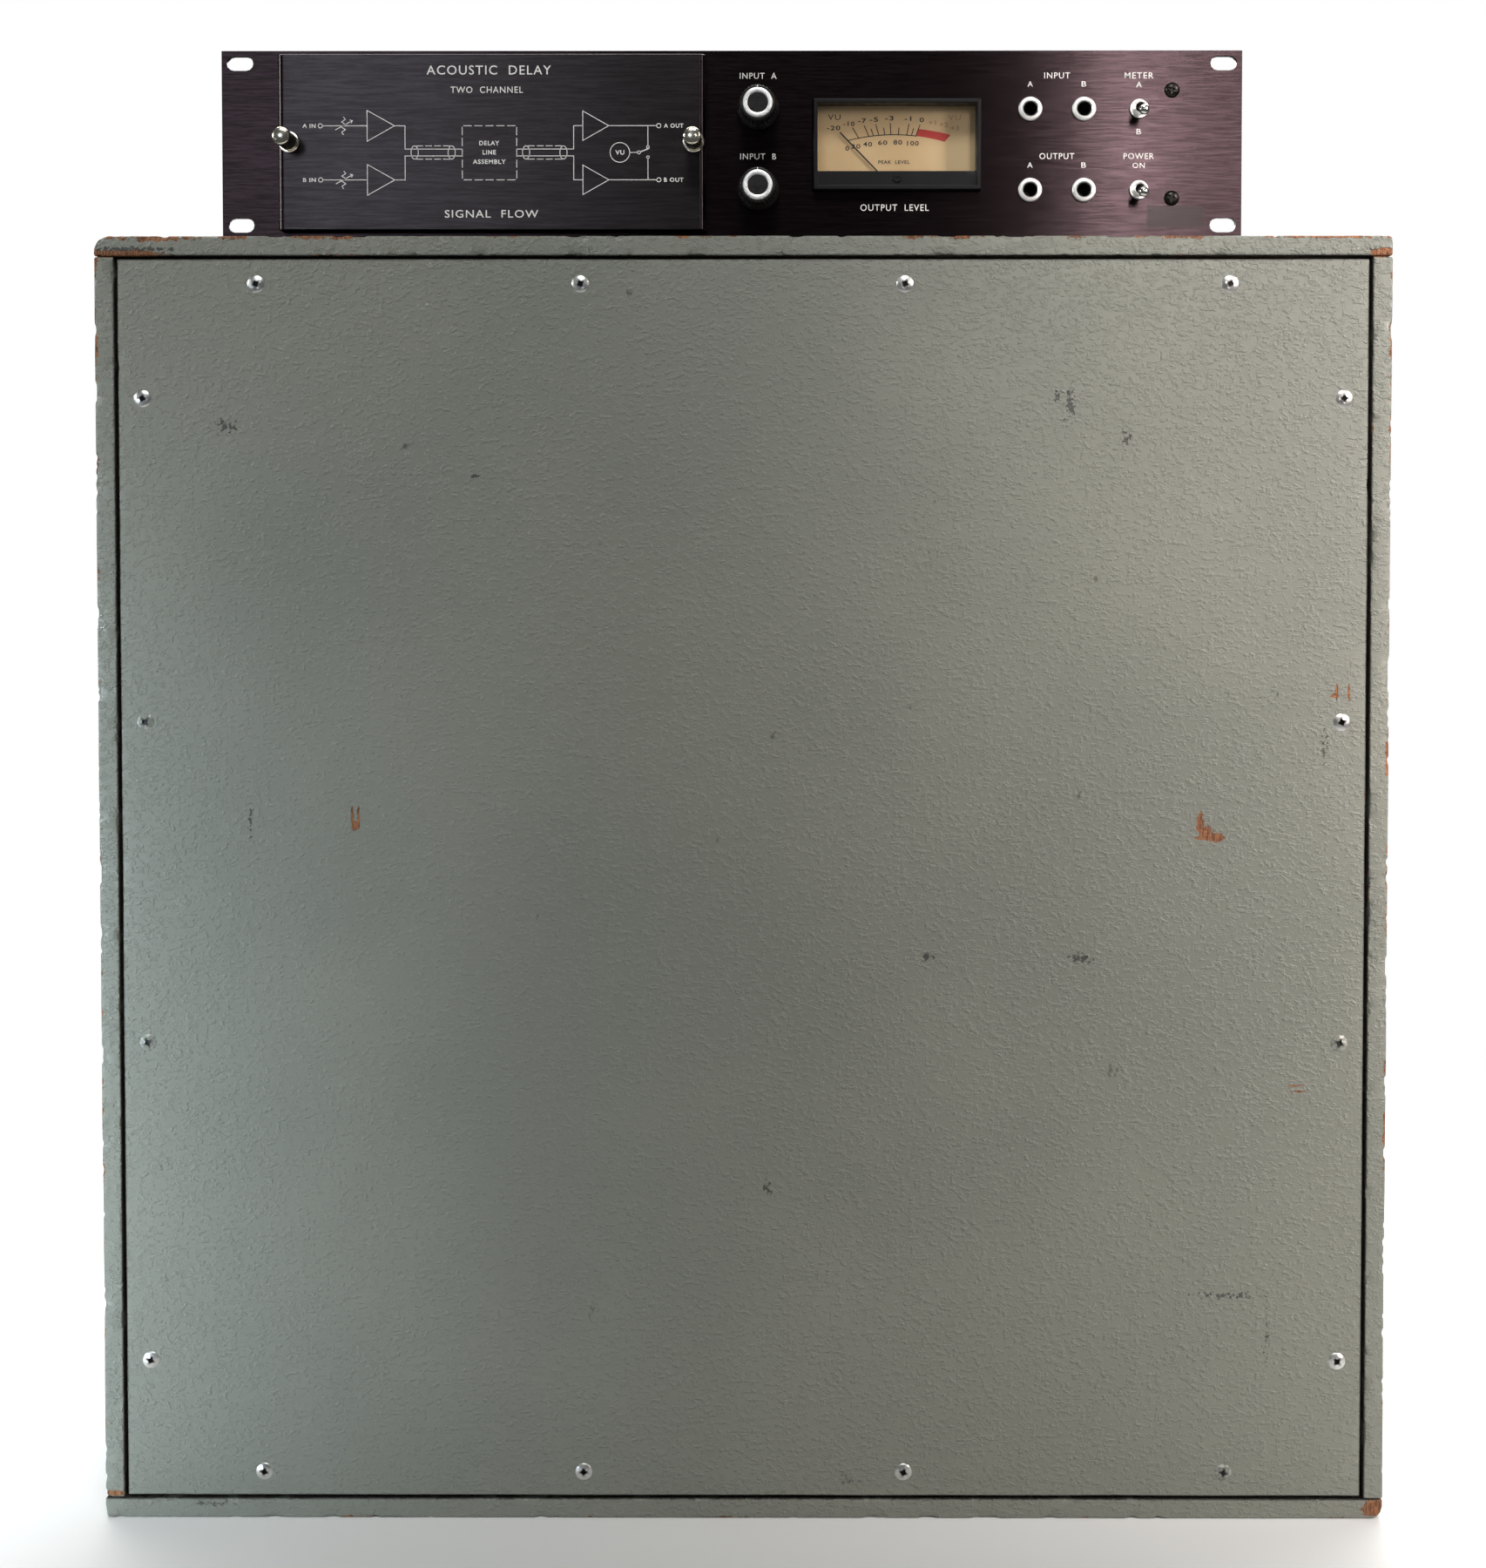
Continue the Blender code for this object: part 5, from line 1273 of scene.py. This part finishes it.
phenolic = moulded("black_phenolic", (0.009, 0.008, 0.008), ((0.024, 0.021, 0.019), 0.35), 0.25,
                   210.0, 0.24, 0.50, 3000.0, 0.00002, 0.4)
spun_ring = bright_metal("spun_aluminium", (0.90, 0.89, 0.86), 500.0, 0.30, 0.48,
                         (0.60, 0.58, 0.54), 0.3)
pot_plating = bright_metal("potentiometer_plating", (0.60, 0.58, 0.52), 160.0, 0.30, 0.5)
brass = handled("shaft_brass", (0.72, 0.52, 0.26), 0.3, 200.0, 0.2, 0.45, 1.0)[0]
for letter in "ab":
    name = "input_" + letter
    low, high, x, z = centred(name + "_knob")
    ring_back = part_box(name + "_knob_ring")[1].y
    top, base = low.y, high.y
    skirt, cap = (high.x - low.x) / 2, 0.0084
    outer, inner, bed = 0.0070, 0.0046, ring_back + 0.0003
    hollow = panel_middle.y - 0.0055
    face = spin(name + "_knob_face", [
        (0, top), (inner, top), (inner, bed), (outer, bed), (outer, top), (cap - 0.0008, top),
        (cap - 0.0003, top + 0.0002), (cap, top + 0.0007)]
        + rows(cap, top + 0.0012, base - 0.0052, 12)
        + [(cap + 0.0005, base - 0.0044), (skirt - 0.0004, base - 0.0030), (skirt, base - 0.0024),
           (skirt, base - 0.0003), (skirt - 0.0003, base), (0.0057, base), (0.0057, hollow),
           (0.0035, hollow), (0.0035, top + 0.0027), (0, top + 0.0027)], x, 0, z, 160)
    knob = grow(face, serrated, phenolic, Centre=(x, 0, z), From=top + 0.0006, To=base - 0.0050,
                Count=28.0, Twist=0.0, Depth=0.00055)
    knob.name = name + "_knob_fluted"
    knob.data.set_sharp_from_angle(angle=radians(42))
    fit_out(knob, name + "_knob", "knob_plastic", name + "_knob")
    ring = spin(name + "_ring_spun", [
        (0.00475, top + 0.0001), (0.0049, top), (0.0068, top), (0.00695, top + 0.0001),
        (0.00695, ring_back), (0.00475, ring_back)], x, 0, z, 96, spun_ring)
    fit_out(ring, name + "_knob", "bright_aluminium", name + "_knob_ring")
    pip = block(name + "_pointer", (x - 0.00025, top - 0.00005, z + 0.0071),
                (x + 0.00025, top + 0.0002, z + 0.0080), 0.00004, 0.0004, white_ink)
    fit_out(pip, name + "_knob", "bright_aluminium")
    dress(brass, "plated_steel", name + "_shaft")
    fit_out(softened(name + "_potentiometer_can", name + "_potentiometer", 0.0003, pot_plating),
            "rack_unit", "plated_steel", name + "_potentiometer")

# ---------------------------------------------------------------- jacks
# Four quarter-inch sockets, each a plated can with a threaded nose that a turned ring nut holds
# to the panel, and a black sleeve inside it.

jack_nickel = bright_metal("jack_nickel", (0.96, 0.95, 0.92), 300.0, 0.40, 0.54,
                           (0.70, 0.66, 0.56), 0.20)
socket_black = handled("socket_inside", (0.006, 0.006, 0.006), 0.6, 300.0, 0.5, 0.7)[0]
for node_name in ("input_jack_a", "input_jack_b", "output_jack_a", "output_jack_b"):
    low, high, x, z = centred(node_name)
    lip, seat = low.y, panel_middle.y - 0.0003
    nut, bore, can = 0.0057, 0.0035, (high.x - low.x) / 2
    back = high.y - 0.026
    thread = [(0.0046 - 0.00025 * (i % 2), lip + 0.0001 + 0.00012 * i) for i in range(4)]
    body = spin(node_name + "_turned", [
        (0, high.y), (can - 0.0004, high.y), (can, high.y - 0.0004), (can, back),
        (0.0046, back), (0.0046, seat), (nut - 0.0001, seat), (nut, seat - 0.0002),
        (nut, seat - 0.0012), (nut - 0.0003, seat - 0.0017), (0.0050, lip + 0.0005)]
        + thread[::-1] + [(bore + 0.0005, lip), (bore, lip + 0.0005), (bore, high.y - 0.002),
                          (0, high.y - 0.002)], x, 0, z, 80, jack_nickel)
    fit_out(body, "rack_unit", "bright_nickel", node_name)
    sleeve = spin(node_name + "_insulator", [
        (bore - 0.0001, lip + 0.0012), (bore - 0.0001, high.y - 0.0022),
        (bore - 0.0004, high.y - 0.0022), (bore - 0.0004, lip + 0.0012)], x, 0, z, 48, socket_black)
    fit_out(sleeve, "rack_unit", "black_plastic")

# ---------------------------------------------------------------- toggle switches
# Miniature toggles: a knurled dress nut on a threaded bushing, and a bat-shaped nickel lever that
# snaps between two places. The upper one chooses the metered channel, the lower one is power.

lever_plating = bright_metal("lever_plating", (0.66, 0.64, 0.60), 260.0, 0.08, 0.20,
                             (0.36, 0.31, 0.22), 0.4)
LEVER = 0.0165               # from its pivot to its tip
LEVER_TIP = 0.0024
LEVER_LEAN = radians(12.5)
for node_name in ("meter_switch", "power_switch"):
    low, high, x, z = centred(node_name)
    face, lip = panel_middle.y, low.y
    seat = face - 0.0003
    nut = spin(node_name + "_dress_nut", [(0.0031, seat), (0.0043, seat)]
               + rows(0.0045, seat - 0.0002, seat - 0.0014, 4)
               + [(0.0043, seat - 0.0017), (0.0031, seat - 0.0017)], x, 0, z, 120)
    nut = grow(nut, serrated, jack_nickel, Centre=(x, 0, z), From=seat - 0.0015, To=seat - 0.0001,
               Count=36.0, Twist=0.0, Depth=0.0002)
    fit_out(nut, "rack_unit", "bright_nickel")
    turns = [(0.0031 - 0.00022 * (i % 2), lip + 0.0004 + 0.00025 * i) for i in range(18)]
    bushing = spin(node_name + "_bushing", [
        (0.0024, lip + 0.0001), (0.0027, lip)] + turns
        + [(0.0030, seat + 0.0006), (0.0030, face + 0.0075), (0.0024, face + 0.0075)],
        x, 0, z, 64, jack_nickel)
    fit_out(bushing, "rack_unit", "bright_nickel")
    body_low = Vector((low.x, face + 0.0036, low.z))
    case = block(node_name + "_case", body_low, high, 0.0008, 0.004, socket_black)
    fit_out(case, "rack_unit", "bright_nickel", node_name)

    # the lever leans down at rest
    pivot = Vector((x, face - 0.0030, z))
    profile = [(0, -LEVER)] + [(LEVER_TIP * sin(a), -LEVER + LEVER_TIP * 0.8 * (1 - cos(a)))
                               for a in np.linspace(0, pi / 2, 7)[1:]]
    profile += [(LEVER_TIP * 0.97, -LEVER + 0.0032), (LEVER_TIP * 0.84, -LEVER + 0.0055),
                (LEVER_TIP * 0.66, -LEVER + 0.0085), (0.00135, -0.0050), (0.0012, -0.0030),
                (0.0012, 0.0028), (0, 0.0028)]
    lever = spin(node_name + "_bat", profile, steps=40, material=lever_plating, smooth=60.0)
    lever.data.transform(Matrix.Translation(pivot) @ Matrix.Rotation(LEVER_LEAN, 4, "X"))
    fit_out(lever, node_name + "_lever", "bright_nickel", node_name + "_lever")

# ---------------------------------------------------------------- level meter
# A moulded black case let into the panel, with a clear acrylic window over a cream card and a
# black strip that hides the pivot. The scale is printed in black and its overload end in red.

case_plastic = moulded("meter_case_plastic", (0.006, 0.006, 0.007), ((0.016, 0.015, 0.014), 0.3),
                       0.16, 130.0, 0.30, 0.55, 2400.0, 0.00003, 0.5)
fit_out(softened("meter_case_moulded", "meter_case", 0.00045, case_plastic, 3), "rack_unit",
        "black_plastic", "meter_case")

acrylic = handled("clear_acrylic", (0.02, 0.02, 0.02), 0.06, 90.0, 0.04, 0.14, Alpha=0.08,
                  Specular_IOR_Level=0.5)[0]
low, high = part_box("meter_window")
window = block("meter_window_pane", low, high, 0.0002, 0.01, acrylic)
fit_out(window, "rack_unit", "clear_acrylic", "meter_window")

card = two_tone("dial_card", 0.65, (0.84, 0.62, 0.34), (0.76, 0.53, 0.27), 30.0, 4.0, 0.35, 0.7)
bump(card.node_tree, card.node_tree.nodes["Principled BSDF"],
     noise_at(card.node_tree, 5000.0, 2.0), 0.00001, 0.4)
dress(card, "dial_card", "meter_dial")

ARC_RADIUS = 0.0880          # the scale line is much flatter than the needle's sweep
ARC_TOP = 0.0058
ARC_MIDDLE = meter_x - 0.0010
HAIRLINE = 0.00044
TICK_SLANT = 36.0            # how fast ticks lean outwards, per metre from the middle


def on_arc(x, above=0.0):
    """The point of the scale line at this x, or above it along the tick that starts there."""
    lean = TICK_SLANT * (x - ARC_MIDDLE)
    z = ARC_TOP - ARC_RADIUS + (ARC_RADIUS ** 2 - (x - ARC_MIDDLE) ** 2) ** 0.5
    return x + lean * above, z + above


# readings above the line: text, its tick's x and length, then the text's x, z and width
READINGS = (("-20", 0.0548, 0.0, 0.0484, 0.0090, 0.0064),
            ("-10", 0.0604, 0.0050, 0.0557, 0.0110, 0.0054),
            ("-7", 0.0652, 0.0052, 0.0620, 0.0124, 0.0039),
            ("-5", 0.0699, 0.0052, 0.0676, 0.0130, 0.0041),
            ("-3", 0.0757, 0.0056, 0.0749, 0.0136, 0.0041),
            ("-1", 0.0832, 0.0053, 0.0838, 0.0134, 0.0033),
            ("0", 0.0876, 0.0053, 0.0904, 0.0128, 0.0021))
FIGURE = 0.0022              # height of the scale's figures
dial_words = [(text, x, z, FIGURE, wide) for text, _, _, x, z, wide in READINGS]
ticks = [(x, length) for _, x, length, *_ in READINGS if length]
ticks += [(x, 0.0034) for x in (0.0674, 0.0728, 0.0793, 0.0855)]
dial_lines = [([on_arc(x) for x in np.linspace(0.0548, 0.0880, 24)], HAIRLINE, False)]
dial_lines += [([on_arc(x), on_arc(x, length)], HAIRLINE, False) for x, length in ticks]
for text, x, wide in (("0", 0.0549, 0.0019), ("20", 0.0590, 0.0043), ("40", 0.0646, 0.0043),
                      ("60", 0.0718, 0.0044), ("80", 0.0790, 0.0042), ("100", 0.0862, 0.0056)):
    dial_words.append((text, x, on_arc(x)[1] - 0.0036, FIGURE, wide))
dial_words += [("VU", 0.0487, 0.0141, 0.0026, 0.0060),
               ("PEAK  LEVEL", ARC_MIDDLE, -0.0072, 0.0017, 0.0150)]
dial_face = Vector((panel_middle.x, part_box("meter_dial")[0].y, panel_middle.z))
black_ink = two_tone("black_dial_ink", 0.6, (0.03, 0.025, 0.02), (0.12, 0.09, 0.06), 1500.0, 2.0,
                     0.5, 0.8)
fit_out(printed("dial_scale", dial_face, black_ink, dial_words, dial_lines), "rack_unit",
        "dial_card")
faded_ink = two_tone("faded_red_ink", 0.6, (0.50, 0.24, 0.13), (0.62, 0.38, 0.22), 900.0, 2.0)
overload_words = [("+1", 0.0954, 0.0115, FIGURE, 0.0035), ("+2", 0.1009, 0.0106, FIGURE, 0.0041),
                  ("+3", 0.1062, 0.0089, FIGURE, 0.0041), ("VU", 0.1060, 0.0139, 0.0026, 0.0060)]
fit_out(printed("dial_overload_numbers", dial_face, faded_ink, overload_words), "rack_unit",
        "dial_card")
red_ink = two_tone("red_dial_ink", 0.55, (0.70, 0.060, 0.040), (0.52, 0.030, 0.022), 400.0, 3.0)
BAND_STEPS = 14
along_band = np.linspace(0.0877, 0.1013, BAND_STEPS)
band_line = [on_arc(x, above) for above in (0.0, 0.0033) for x in along_band]
points = [(x, y, z) for x, z in band_line for y in (0.0, -INK_DEPTH)]
faces = []
for i in range(BAND_STEPS - 1):
    a, b = 2 * i, 2 * (i + BAND_STEPS)
    faces += [(a, a + 2, b + 2, b), (a + 1, a + 3, b + 3, b + 1),
              (a, a + 1, a + 3, a + 2), (b, b + 1, b + 3, b + 2)]
over, last = 2 * BAND_STEPS, 2 * (BAND_STEPS - 1)
faces += [(end, end + 1, end + over + 1, end + over) for end in (0, last)]
band = mesh_object("dial_red_band", [Vector(p) + dial_face for p in points], faces, red_ink)
fit_out(band, "rack_unit", "dial_card")

needle_black = handled("needle_black", (0.008, 0.008, 0.008), 0.45, 500.0, 0.4, 0.6)[0]
low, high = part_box("meter_needle")
HUB = 0.0020
pivot = Vector((high.x - HUB, (low.y + high.y) / 2, low.z + HUB))
REACH = 0.0386
NEEDLE_REST = radians(-44)
blade = slab((-0.00034, -0.00012, -0.0002), (0.00034, 0.00012, REACH), 0.00010,
             (0.0005, 0.0002, 0.004))
needle = mesh_object("meter_pointer", *blade, needle_black)
boss = spin("meter_pointer_boss", [(0, -0.0004), (0.0013, -0.0004), (0.0019, -0.0001),
                                   (0.0019, 0.0004), (0, 0.0004)], steps=32,
            material=needle_black)
for item, stands_for in ((needle, ("meter_needle",)), (boss, ())):
    item.data.transform(Matrix.Translation(pivot) @ Matrix.Rotation(NEEDLE_REST, 4, "Y"))
    fit_out(item, "meter_needle", "black_plastic", *stands_for)

low, high, x, z = centred("meter_zero_screw")
radius = (high.x - low.x) / 2
head = spin("zero_head", [(0, 0), (radius * 0.8, 0.0), (radius, 0.0003), (radius, high.y - low.y),
                          (0, high.y - low.y)])
zero = grow(dots("meter_zero_turned", [(x, low.y, z)]), cross_head, case_plastic, Head=head,
            Recess_Width=radius * 1.9, Recess_Slot=0.0006, Recess_Depth=0.0004, Seed=11)
drop(head)
fit_out(zero, "meter_zero_screw", "black_plastic", "meter_zero_screw")

# ---------------------------------------------------------------- inside the chassis
# Three glass-fibre boards on brass posts with axial resistors and upright capacitors, and a
# laminated mains transformer whose winding is wrapped in yellow tape.


def standing(name, profile, x, y, z, material, steps=32):
    """A turned piece that stands up: its profile is (radius, height)."""
    item = spin(name, profile, steps=steps, material=material)
    item.data.transform(Matrix.Translation((x, y, z)) @ Matrix.Rotation(pi / 2, 4, "X"))
    return item


board_green, tree, shader = handled("board_laminate", (0.05, 0.17, 0.075), 0.42, 60.0, 0.3, 0.5)
tracks = put(tree, "ShaderNodeTexBrick",
             {"Vector": object_place(tree), "Scale": 60.0,
              "Mortar Size": 0.035, "Color1": (0, 0, 0, 1), "Color2": (0, 0, 0, 1),
              "Mortar": (1, 1, 1, 1)})
feed(tree, shader, Base_Color=blend_colour(tree, tracks.outputs["Fac"], (0.045, 0.15, 0.065, 1),
                                           (0.16, 0.34, 0.12, 1)))
sleeve_blue = handled("capacitor_sleeve", (0.05, 0.10, 0.24), 0.35, 90.0, 0.3, 0.5)[0]
resistor_tan, tree, shader = new_finish("resistor_lacquer", (0.45, 0.30, 0.16), 0.4)
bands = sums(tree, "SINE", sums(tree, "MULTIPLY", put(tree, "ShaderNodeSeparateXYZ", {
    0: object_place(tree)}).outputs[0], 5200.0))
feed(tree, shader, Base_Color=blend_colour(tree, ramp(tree, bands, 0.6, 0.8),
                                           (0.45, 0.30, 0.16, 1), (0.18, 0.05, 0.03, 1)))

resistor_field, given, result = new_geometry_tree("resistor_field", [
    ("Length", "Float"), ("Radius", "Float"), ("Share", "Float"), ("Seed", "Int"),
    ("Material", "Material")])
body = put(resistor_field, "GeometryNodeMeshCylinder",
           {"Vertices": 12, "Radius": given["Radius"], "Depth": given["Length"]}).outputs["Mesh"]
lead = put(resistor_field, "GeometryNodeMeshCylinder",
           {"Vertices": 6, "Radius": sums(resistor_field, "MULTIPLY", given["Radius"], 0.28),
            "Depth": sums(resistor_field, "MULTIPLY", given["Length"], 1.6)}).outputs["Mesh"]
both = put(resistor_field, "GeometryNodeJoinGeometry", {0: body})
resistor_field.links.new(lead, both.inputs[0])
lying = put(resistor_field, "GeometryNodeTransform",
            {"Geometry": both.outputs[0], "Rotation": (0, pi / 2, 0)}).outputs[0]
chosen = put(resistor_field, "FunctionNodeRandomValue",
             {"Probability": given["Share"], "Seed": given["Seed"]}, data_type="BOOLEAN")
copies = put(resistor_field, "GeometryNodeInstanceOnPoints",
             {"Points": given["Geometry"], "Selection": chosen.outputs[3], "Instance": lying})
end_tree(resistor_field, copies.outputs[0], given, result)

POST = 0.0060
BOARD = 0.0016
CHANNEL_CANS = ((0.028, 0.028, 0.0118, 0.030), (0.116, 0.028, 0.0118, 0.030))
SUPPLY_CANS = ((0.025, 0.023, 0.0108, 0.034), (0.055, 0.023, 0.0108, 0.034),
               (0.022, 0.060, 0.0058, 0.012))
for seed, (node_name, cans) in enumerate((("supply_board", SUPPLY_CANS),
                                          ("drive_amplifier_board", CHANNEL_CANS),
                                          ("recovery_amplifier_board", CHANNEL_CANS))):
    low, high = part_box(node_name)
    top = low.z + POST + BOARD
    plate = mesh_object(node_name + "_laminate", *slab(
        (low.x, low.y, low.z + POST), (high.x, high.y, top), 0.0002, (0.02, 0.02, 0.002)),
        board_green)
    fit_out(plate, "rack_unit", "circuit_board", node_name)
    for number, (x, y) in enumerate([(x, y) for x in (low.x + 0.007, high.x - 0.007)
                                     for y in (low.y + 0.007, high.y - 0.007)]):
        post = standing("%s_post_%d" % (node_name, number + 1),
                        [(0, 0), (0.0028, 0), (0.0028, POST - 0.0001), (0, POST - 0.0001)],
                        x, y, low.z, brass, 6)
        fit_out(post, "rack_unit", "plated_steel")
    for number, (x, y, radius, tall) in enumerate(cans):
        can = standing("%s_capacitor_%d" % (node_name, number + 1),
                       [(0, 0.0001), (radius - 0.0005, 0.0001), (radius, 0.0006),
                        (radius, tall - 0.0010), (radius - 0.0008, tall - 0.0002),
                        (radius * 0.8, tall - 0.0006), (0, tall - 0.0006)],
                       low.x + x, low.y + y, top, sleeve_blue)
        fit_out(can, "rack_unit", "circuit_board")
    grid = [(x, y, top + 0.0014) for x in np.arange(low.x + 0.046, high.x - 0.046, 0.011)
            for y in np.arange(low.y + 0.012, high.y - 0.010, 0.0055)]
    if not grid:
        grid = [(x, y, top + 0.0014) for x in np.arange(low.x + 0.048, high.x - 0.014, 0.011)
                for y in np.arange(low.y + 0.046, high.y - 0.010, 0.0055)]
    parts = grow(dots(node_name + "_resistors", grid), resistor_field, resistor_tan,
                 Length=0.0064, Radius=0.0011, Share=0.7, Seed=seed)
    fit_out(parts, "rack_unit", "circuit_board")

lamination, tree, shader = new_finish("transformer_lamination", (0.13, 0.12, 0.11), 0.5, 0.7)
leaves = effect(tree, brushing, Stretch=(1.0, 60.0, 1.0), Scale=30.0)
feed(tree, shader, Base_Color=blend_colour(tree, leaves["Streak"], (0.07, 0.065, 0.06, 1),
                                           (0.20, 0.18, 0.16, 1)))
bump(tree, shader, leaves["Height"], 0.0003, 0.7)
tape = handled("winding_tape", (0.62, 0.44, 0.10), 0.45, 70.0, 0.35, 0.6)[0]
low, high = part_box("mains_transformer")
inset_y = 0.012
core = block("transformer_core", (low.x, low.y + inset_y, low.z),
             (high.x, high.y - inset_y, high.z), 0.0006, 0.01, lamination)
fit_out(core, "rack_unit", "lamination", "mains_transformer")
for side, near, far in (("front", low.y, low.y + inset_y - 0.0001),
                        ("rear", high.y - inset_y + 0.0001, high.y)):
    winding = block("transformer_winding_" + side, (low.x + 0.010, near, low.z + 0.010),
                    (high.x - 0.010, far, low.z + 0.038), 0.0035, 0.004, tape)
    fit_out(winding, "rack_unit", "lamination")

# ---------------------------------------------------------------- back of the chassis
# A bayonet fuse holder with a fluted cap and a ribbed gland that grips the mains cord, both
# moulded in black.

fit_out(softened("fuse_holder_moulded", "fuse_holder", 0.0003, phenolic), "rack_unit",
        "black_plastic", "fuse_holder")
low, high, x, z = centred("fuse_cap")
radius = (high.x - low.x) / 2
cap = spin("fuse_cap_blank", [(0, low.y), (radius - 0.0002, low.y)]
           + rows(radius, low.y + 0.0003, high.y - 0.0012, 10)
           + [(radius - 0.0006, high.y - 0.0003), (radius - 0.0014, high.y), (0, high.y)],
           x, 0, z, 120)
cap = grow(cap, serrated, phenolic, Centre=(x, 0, z), From=low.y + 0.0008, To=high.y - 0.0010,
           Count=22.0, Twist=0.0, Depth=0.0004)
cap.name = "fuse_cap_fluted"
fit_out(cap, "fuse_cap", "black_plastic", "fuse_cap")
low, high, x, z = centred("mains_cord_gland")
radius = (high.x - low.x) / 2
grip, hole, back = 0.00625, 0.0040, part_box("chassis_tray")[1].y + 0.0003
ribs = [(radius - (0.0006 + 0.0014 * i / 8 + 0.0007 * (i % 2)), back + 0.0042 + 0.0008 * i)
        for i in range(9)]
gland = spin("mains_gland_ribbed", [
    (hole, low.y), (grip - 0.0003, low.y), (grip, low.y + 0.0003), (grip, back),
    (radius - 0.0003, back), (radius, back + 0.0003), (radius, back + 0.0036)] + ribs
    + [(grip, high.y - 0.0003), (grip - 0.0003, high.y), (hole + 0.0004, high.y),
       (hole, high.y - 0.0004)], x, 0, z, 72, phenolic)
fit_out(gland, "rack_unit", "black_plastic", "mains_cord_gland")

low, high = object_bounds()
